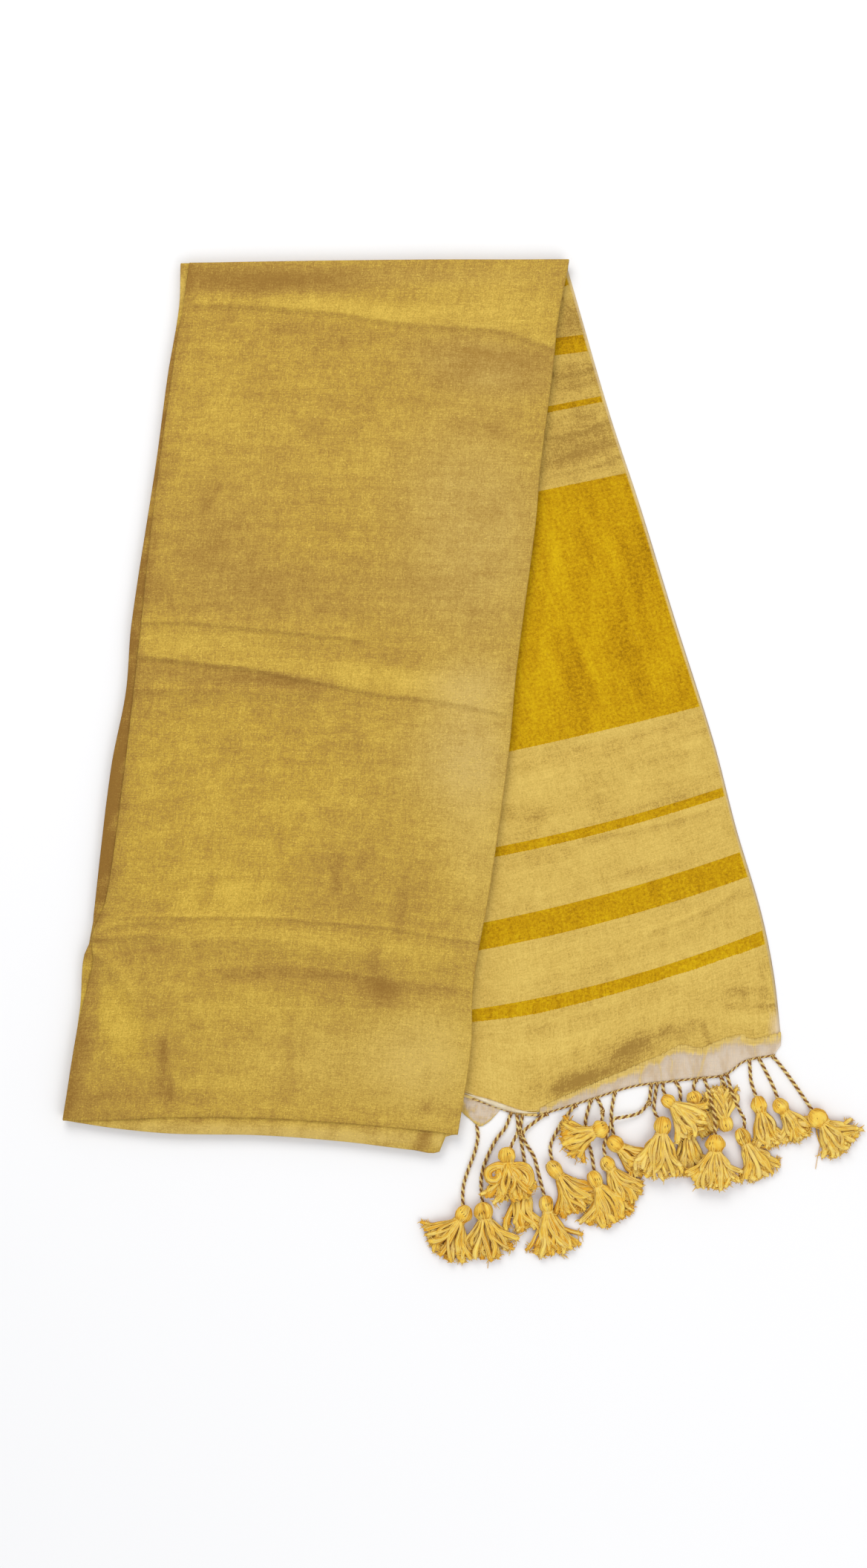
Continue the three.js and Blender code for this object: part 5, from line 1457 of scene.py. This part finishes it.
def tassel_way(tassel):
    """Points of a tassel's cord, from the hem cord into the head"""
    via = [(*point, CORD_REST)[:3] for point in tassel.via]
    if isinstance(tassel.start, tuple):
        return [np.array(tassel.start) + (0, 1.5, 0), *via, tassel.head]
    on_hem = hem_cord_point(float(tassel.start))
    on_hem[2] = CORD_REST
    return [on_hem + (0, 0.6, 0), *via, tassel.head]


def tassel_axes(tassel):
    turn = math.radians(tassel.aim)
    aim = np.array([math.cos(turn), math.sin(turn), 0])
    return aim, np.array([-aim[1], aim[0], 0])


def placed_about(centre, *moves):
    """Points moved from a centre, each move a distance per point and its direction"""
    for distances, direction in moves:
        centre = centre + np.multiply.outer(distances, direction)
    return centre


Lock = namedtuple("Lock", "share height bow swing waves phase curl reach thickness tone")
# Tiers of a skirt from the lowest up: the share of its locks, and between which heights they lie
TIERS = [(0.3, 0.05, 0.2), (0.38, 0.35, 0.6), (0.32, 0.7, 1.0)]
YARNS_ON_A_LOCK, FIBRES_AT_ITS_END, YARNS_OVER_A_HEAD = 3, 12, 16


def skirt_locks(tassel, chance):
    """Wavy locks of yarn side by side across a skirt, in three tiers"""
    count = sizes().locks * (0.55 + tassel.spread / 60)
    locks = []
    for tier, (part, low, high) in enumerate(TIERS):
        side_by_side = max(round(count * part), 3)
        for k in range(side_by_side):
            locks.append(Lock(
                share=2 * (k + 0.5) / side_by_side - 1 + chance.uniform(-0.5, 0.5) / side_by_side,
                height=chance.uniform(low, high),
                bow=chance.uniform(-3.4, 3.4),
                swing=chance.uniform(-0.3, 0.3),
                waves=chance.uniform(0.6, 1.4),
                phase=chance.uniform(0, 2 * math.pi),
                curl=chance.uniform(-3.5, 3.5),
                reach=chance.uniform(0.86, 0.97) if tier == 0 else chance.uniform(0.74, 1.0),
                thickness=chance.uniform(0.7, 1.35) * (1.3 if tier == 0 else 1),
                tone=chance.choice(LOCK_TONES[tassel.head[0] > PALER_FROM_X][tier > 0]),
            ))
    return locks


def lock_way(tassel, lock, along, radii):
    """Points along the middle of a lock, from inside the head to its end"""
    aim, sideways = tassel_axes(tassel)
    from_head = tassel.length * 0.36
    reach = (tassel.reach - from_head - 2) * lock.reach
    spread = math.radians(tassel.spread * 1.02)
    wave = np.sin(2 * math.pi * lock.waves * along + lock.phase)
    sway = lock.bow * np.sin(np.pi * along) + 1.9 * wave * along**0.8 + lock.curl * along**4
    angle = lock.share * spread * (0.75 + 0.25 * along) + lock.swing * along**1.5
    across = lock.share * tassel.width * 0.24 * (1 - along) + np.sin(angle) * reach * along + sway
    crown = math.sqrt(max(1 - (0.93 * lock.share) ** 2, 0.05))
    ahead = from_head + np.cos(angle) * reach * along
    way = placed_about(tassel.head, (ahead, aim), (across, sideways))
    floor = tassel.rise + 0.2 + radii
    start = tassel.head[2] + (lock.height - 0.5) * tassel.height * 0.55 * crown
    end = tassel.rise + 1.6 + lock.height * 3.8 * crown
    bulge = (0.3 + lock.height * 2.2) * np.sin(np.pi * along**0.8) * crown
    ripple = 1.1 * np.sin(2 * math.pi * lock.waves * 1.3 * along + 2 * lock.phase) * along
    way[:, 2] = np.maximum(start + (end - start) * along + bulge + ripple, floor)
    return way


def loose_yarns(way, radii, floor, chance):
    """Single yarns that lie on a lock"""
    way, radii = way[::2], radii[::2]
    along = np.linspace(0, 1, len(way))
    across = unit(np.cross(np.gradient(way, axis=0), UP))
    yarns = []
    for _ in range(YARNS_ON_A_LOCK):
        place, drift = chance.uniform(-0.9, 0.9), chance.uniform(-1.1, 1.1)
        offset = radii * np.clip(place + drift * along, -1.3, 1.3)
        yarn = way + across * offset[:, None]
        yarn[:, 2] += np.sqrt(np.maximum(radii**2 - (offset / 1.3) ** 2, 0)) * 0.8
        yarn[:, 2] = np.maximum(yarn[:, 2], floor)
        thickness = sizes().yarn_radius / MM * (0.8 + 0.4 * along)
        yarns.append((yarn, thickness, chance.choice([COTTON, LIGHT, LIGHT])))
    return yarns


FIBRE_RADII = np.array([0.42, 0.36, 0.16])


def frayed_end(way, radius, floor, chance):
    """The fine fibres that the cut end of a lock opens into"""
    heading = unit(way[-1] - way[-3])
    across = unit(np.cross(heading, UP))
    fibres = []
    for _ in range(FIBRES_AT_ITS_END):
        turn, side = chance.gauss(0, 0.85), chance.uniform(-1.2, 1.2)
        direction = heading * math.cos(turn) + across * (math.sin(turn) + 0.25 * side)
        start = way[-3] + (way[-1] - way[-3]) * chance.uniform(0, 0.9) + across * side * radius
        start[2] += chance.uniform(-0.7, 0.8) * radius
        along = np.linspace(0, 1, 3)[:, None]
        fibre = start + direction * along * chance.uniform(1.4, 3.8)
        fibre = fibre + across * along**2 * chance.uniform(-2.2, 2.2)
        fibre[:, 2] = np.maximum(fibre[:, 2] - along[:, 0] * chance.uniform(0, 1.5), floor)
        fibres.append((fibre, FIBRE_RADII, chance.choice([COTTON] * 3 + [LIGHT])))
    return fibres


def skirt_strands(tassel, chance):
    """The skirt's locks, and apart from them the finer yarns and fibres"""
    along = np.linspace(0, 1, 12)
    floor = tassel.rise + 0.45
    locks, yarns = [], []
    for lock in skirt_locks(tassel, chance):
        radii = (0.7 + 0.72 * along**0.9 + 0.15 * np.sin(along * 9 + lock.phase)) * lock.thickness
        way = lock_way(tassel, lock, along, radii)
        closing = radii.copy()
        closing[-1] *= 0.6
        locks.append((way, closing, lock.tone))
        yarns += loose_yarns(way, radii, floor, chance)
        yarns += frayed_end(way, radii[-1], floor, chance)
    return locks, yarns


def neck_strands(tassel, chance):
    """The binding round the neck, with the two ends of its knot"""
    aim, sideways = tassel_axes(tassel)
    centre = np.array(tassel.head) + aim * tassel.length * 0.46
    centre[2] -= tassel.height * 0.04
    turns = np.linspace(0, 2 * math.pi * 3, 46)
    wide, tall = tassel.width * 0.36, tassel.height * 0.34
    binding = placed_about(
        centre, (np.cos(turns) * wide, sideways), (np.sin(turns) * tall, UP),
        (turns / turns[-1] * 1.9 - 0.9, aim),
    )
    strands = [(binding, 0.5, LIGHT)]
    for side in (-1, 1):
        along = np.linspace(0, 1, 8)[:, None]
        start = centre + sideways * side * wide * 0.5 + UP * tall * 0.85
        tail = start + (sideways * side * 3.5 + aim * chance.uniform(2, 8)) * along
        tail = tail + sideways * np.sin(along * 4) * chance.uniform(-1, 1)
        arch = (0.6 * np.sin(along * math.pi) - along * 1.4)[:, 0]
        tail[:, 2] = np.maximum(tail[:, 2] + arch, tassel.rise + 0.6)
        strands.append((tail, 0.45, chance.choice([COTTON, LIGHT])))
    return strands


def head_strands(tassel, chance):
    """Single yarns drawn over the head, from the cord to the neck"""
    aim, sideways = tassel_axes(tassel)
    along = np.linspace(0.12, 0.94, 9)
    strands = []
    for _ in range(YARNS_OVER_A_HEAD):
        around = chance.uniform(0.08, 0.92) * math.pi
        drift = chance.uniform(-0.3, 0.3)
        turns = around + drift * (along - 0.5)
        bulge = np.sin(along * math.pi) ** 0.75 * 0.48 * (1 - 0.22 * smooth_step(along, 0.6, 0.95))
        way = placed_about(
            tassel.head, (np.cos(turns) * bulge * tassel.width, sideways),
            (np.sin(turns) * bulge * tassel.height * 1.02, UP),
            (np.cos(along * math.pi) * -0.52 * tassel.length, aim),
        )
        strands.append((way, chance.uniform(0.3, 0.5), chance.choice([COTTON, COTTON, LIGHT, DEEP])))
    return strands


def looped_locks(points, thickness, chance):
    """Thin locks side by side that have looped back over a skirt"""
    middle = smooth_way(points, 1.8)
    along = np.linspace(0, 1, len(middle))
    across = unit(np.cross(np.gradient(middle, axis=0), UP))
    locks = []
    for place in (-1, 0, 1):
        opened = 0.35 + 0.65 * np.sin(along * math.pi)
        apart = thickness * (place * 1.15 + chance.uniform(-0.4, 0.4)) * opened
        way = middle + across * (apart + 0.5 * np.sin(along * 9 + chance.uniform(0, 6)))[:, None]
        way[:, 2] -= abs(place) * 0.7 + 0.4 * np.sin(along * 7 + chance.uniform(0, 6))
        radii = thickness * (0.65 + 0.25 * np.sin(along * math.pi) + 0.1 * np.sin(along * 17))
        locks.append((way, radii, chance.choice([COTTON, COTTON, DEEP])))
    return locks


def stitch_strands(tassel, number, chance):
    """Short dark stitches where the cord is sewn into the head"""
    aim, sideways = tassel_axes(tassel)
    head = np.array(tassel.head)
    count = 1 + number * 3 % 4
    forward, side = chance.uniform(-0.22, 0.05), chance.uniform(-0.28, 0.28)
    slant = chance.uniform(-0.5, 0.5)
    strands = []
    for k in range(count):
        place = side + (k - (count - 1) / 2) * 0.13
        centre = head + aim * (forward + slant * (place - side)) * tassel.length
        centre = centre + sideways * place * tassel.width
        drop = 1 - (2 * forward) ** 2 - (2 * place) ** 2
        centre[2] += tassel.height * 0.5 * math.sqrt(max(drop, 0.1))
        along = np.linspace(-1, 1, 5)
        heading = aim + sideways * chance.uniform(-0.5, 0.3)
        stitch = centre + heading * (along * chance.uniform(0.7, 1.2))[:, None]
        stitch[:, 2] += 0.3 * (1 - along**2) - 0.12
        strands.append((stitch, 0.3, BROWN_PLY))
    return strands


def hem_knot(x, chance):
    """Two turns of a tassel's cord round the hem cord"""
    along = np.array([*hem_direction(np.array(float(x))), 0])
    return cord_knot(hem_cord_point(float(x)), along, chance)


def cord_knot(centre, along, chance):
    """Both plies of a cord wound round the place `centre`, about the direction `along`"""
    outward = np.array([-along[1], along[0], 0])
    strands = []
    for ply in (0, 1):
        turns = np.linspace(0, 2 * math.pi * 1.6, 18) + ply * math.pi * 0.8 + chance.uniform(0, 1)
        knot = placed_about(
            centre, (1.35 * np.cos(turns), outward), (0.85 * np.sin(turns), UP),
            (np.linspace(-0.9, 0.9, 18), along),
        )
        knot[:, 2] += 0.5
        strands.append((knot, 0.5, BROWN_PLY + ply))
    return strands


def tassel_head(tassel, number, chance, materials):
    """The head: yarns drawn over a ball, from where the cord enters to the neck"""
    aim, sideways = tassel_axes(tassel)
    deselect_all()
    bpy.ops.mesh.primitive_uv_sphere_add(segments=72, ring_count=14, radius=0.5)
    ball = bpy.context.object
    co = np.empty(len(ball.data.vertices) * 3)
    ball.data.vertices.foreach_get("co", co)
    co = co.reshape(-1, 3)
    around = np.arctan2(co[:, 1], co[:, 0])
    lean = chance.uniform(-2.5, 2.5)
    ridge = 1 + 0.05 * np.cos(around * 18 + co[:, 2] * lean) * (0.7 + 0.3 * np.sin(around * 3 + number))
    for waves in (2, 3, 5):
        ridge += chance.uniform(0.02, 0.05) * np.sin(around * waves + co[:, 2] * 4 + chance.uniform(0, 6))
    if number in TWO_LOBED_HEADS:
        ridge *= 1 - 0.32 * np.exp(-(((np.abs(np.sin(around)) - 1) / 0.14) ** 2))
    shoulder = 1 + chance.uniform(-0.05, 0.12) * np.cos(co[:, 2] * 6.3)
    co[:, :2] *= (ridge * shoulder * (1 - 0.3 * smooth_step(co[:, 2], 0.1, 0.5)))[:, None]
    placed = placed_about(
        tassel.head, (co[:, 0] * tassel.width * 0.96, sideways), (co[:, 1] * tassel.height, UP),
        (co[:, 2] * tassel.length * 1.06, aim),
    )
    ball.data.vertices.foreach_set("co", ((placed + (*TO_FRAME, 0)) * MM).ravel())
    bpy.ops.object.mode_set(mode="EDIT")
    bpy.ops.mesh.select_all(action="SELECT")
    bpy.ops.mesh.normals_make_consistent(inside=False)
    bpy.ops.object.mode_set(mode="OBJECT")
    bpy.ops.object.shade_smooth()
    ball.data.materials.append(materials[0])
    return ball


class SAREE_OT_tassels(bpy.types.Operator):
    """Build the cotton tassels, each with its twisted cord, head, neck binding and skirt of yarns"""

    bl_idname = "saree.tassels"
    bl_label = "Tassels"

    def execute(self, context):
        materials = [*cotton_materials(), *cord_materials()]
        ply, pitch = sizes().cord_ply / MM, sizes().cord_pitch / MM
        outline = lock_outline()
        for number, tassel in enumerate(TASSELS, 1):
            chance = random.Random(number)
            locks, strands = skirt_strands(tassel, chance)
            strands += neck_strands(tassel, chance) + head_strands(tassel, chance)
            strands += stitch_strands(tassel, number, chance)
            for owner, points, radius in STRAY_YARNS:
                if owner == number:
                    strands.append((smooth_way(points), radius, COTTON))
            if number == LOOPED_TASSEL:
                for points, thickness in BOW_LOOPS:
                    for way, radii, tone in looped_locks(points, thickness, chance):
                        locks.append((way, radii, tone))
                        strands += loose_yarns(way, radii, tassel.rise, chance)
                        strands += frayed_end(way, radii[-1], tassel.rise, chance)
            if not isinstance(tassel.start, tuple):
                strands += hem_knot(tassel.start, chance)
            for knotted, centre in MEETING_KNOTS:
                if knotted == number:
                    for _ in range(3):
                        turn = chance.uniform(0, math.pi)
                        place = np.array(centre) + (chance.uniform(-0.7, 0.7), chance.uniform(-1.2, 1.2), 0)
                        strands += cord_knot(place, np.array([math.cos(turn), math.sin(turn), 0]), chance)
            for place, points in enumerate(twisted_plies(tassel_way(tassel), ply, pitch)):
                strands.append((points, ply * (0.92, 1.08)[place], BROWN_PLY + place))
            yarns = strands_object("yarns", strands, materials)
            skirt = strands_object("locks", locks, materials, outline)
            head = tassel_head(tassel, number, chance, materials)
            whole = joined([yarns, skirt, head], f"tassel_{number:02d}_cotton")
            paint_crevice_shade(whole)
            hand_in(whole, "tassel_cotton", f"tassel_{number:02d}")
        bpy.data.objects.remove(outline)
        return {"FINISHED"}


# The stage, in metres: the floor lies a little below the cloth; a lamp has a name, a place, a size
# and a power in watts; the camera looks straight down from its distance above the cloth's middle
FLOOR_SIZE, FLOOR_GAP, PAPER_WHITE = 8, 0.0003, (0.95, 0.95, 0.955, 1)
SKY = ((0.93, 0.955, 1.0, 1), 0.66)
LAMPS = [("Key", (-0.5, 1.5, 1.9), 1.3, 24), ("Fill", (0.9, -1.3, 2.0), 1.8, 17)]
LAMP_TINT = (1.0, 0.965, 0.91)
CAMERA_DISTANCE, SHOWN_HEIGHT = 2.0, 1.183
CAMERA_OVER, CAMERA_FOCUS = (-0.0201, -0.0160), 0.006


class SAREE_OT_stage(bpy.types.Operator):
    """Set the white floor, the soft light and the camera above"""

    bl_idname = "saree.stage"
    bl_label = "Stage"

    def execute(self, context):
        scene = context.scene
        deselect_all()
        bpy.ops.mesh.primitive_plane_add(size=FLOOR_SIZE, location=(0, 0, -FLOOR_GAP))
        floor = context.object
        floor.name = "floor"
        material, _, shader = new_material("White paper")
        shader.inputs["Base Color"].default_value = PAPER_WHITE
        shader.inputs["Roughness"].default_value = 0.9
        floor.data.materials.append(material)

        world = bpy.data.worlds.new("Soft room")
        world.use_nodes = True
        sky = world.node_tree.nodes["Background"]
        sky.inputs[0].default_value, sky.inputs[1].default_value = SKY
        scene.world = world

        for name, place, size, power in LAMPS:
            lamp = bpy.data.lights.new(name, "AREA")
            lamp.energy, lamp.size, lamp.color = power, size, LAMP_TINT
            holder = bpy.data.objects.new(name, lamp)
            holder.location = place
            holder.rotation_euler = (-Vector(place)).to_track_quat("-Z", "Y").to_euler()
            scene.collection.objects.link(holder)

        camera = bpy.data.cameras.new("Above")
        camera.sensor_fit = "VERTICAL"
        camera.sensor_height = 36
        camera.lens = camera.sensor_height * CAMERA_DISTANCE / SHOWN_HEIGHT
        holder = bpy.data.objects.new("Above", camera)
        holder.location = (*CAMERA_OVER, CAMERA_DISTANCE + CAMERA_FOCUS)
        scene.collection.objects.link(holder)
        scene.camera = holder
        scene.view_settings.view_transform = "Standard"
        return {"FINISHED"}


class SAREE_PT_pieces(bpy.types.Panel):
    """Lists the saree's pieces in the sidebar"""

    bl_idname = "SAREE_PT_pieces"
    bl_label = "Folded saree"
    bl_space_type = "VIEW_3D"
    bl_region_type = "UI"
    bl_category = "Saree"

    def draw(self, context):
        for operator in OPERATORS:
            self.layout.operator(operator.bl_idname)
        for group in (context.scene.saree_sizes, context.scene.saree_colours):
            column = self.layout.column()
            for name in group.__annotations__:
                column.prop(group, name)


OPERATORS = (
    SAREE_OT_stage,
    SAREE_OT_folded_stack,
    SAREE_OT_second_layer,
    SAREE_OT_top_layer,
    SAREE_OT_end_panel,
    SAREE_OT_end_strip,
    SAREE_OT_hem,
    SAREE_OT_tassels,
)
CLASSES = (SareeSizes, SareeColours, *OPERATORS, SAREE_PT_pieces)


def register():
    for kind in CLASSES:
        bpy.utils.register_class(kind)
    bpy.types.Scene.saree_sizes = PointerProperty(type=SareeSizes)
    bpy.types.Scene.saree_colours = PointerProperty(type=SareeColours)


def unregister():
    del bpy.types.Scene.saree_sizes
    del bpy.types.Scene.saree_colours
    for kind in reversed(CLASSES):
        bpy.utils.unregister_class(kind)


def main():
    register()
    for operator in OPERATORS:
        group, name = operator.bl_idname.split(".")
        getattr(getattr(bpy.ops, group), name)()


if __name__ == "__main__":
    main()
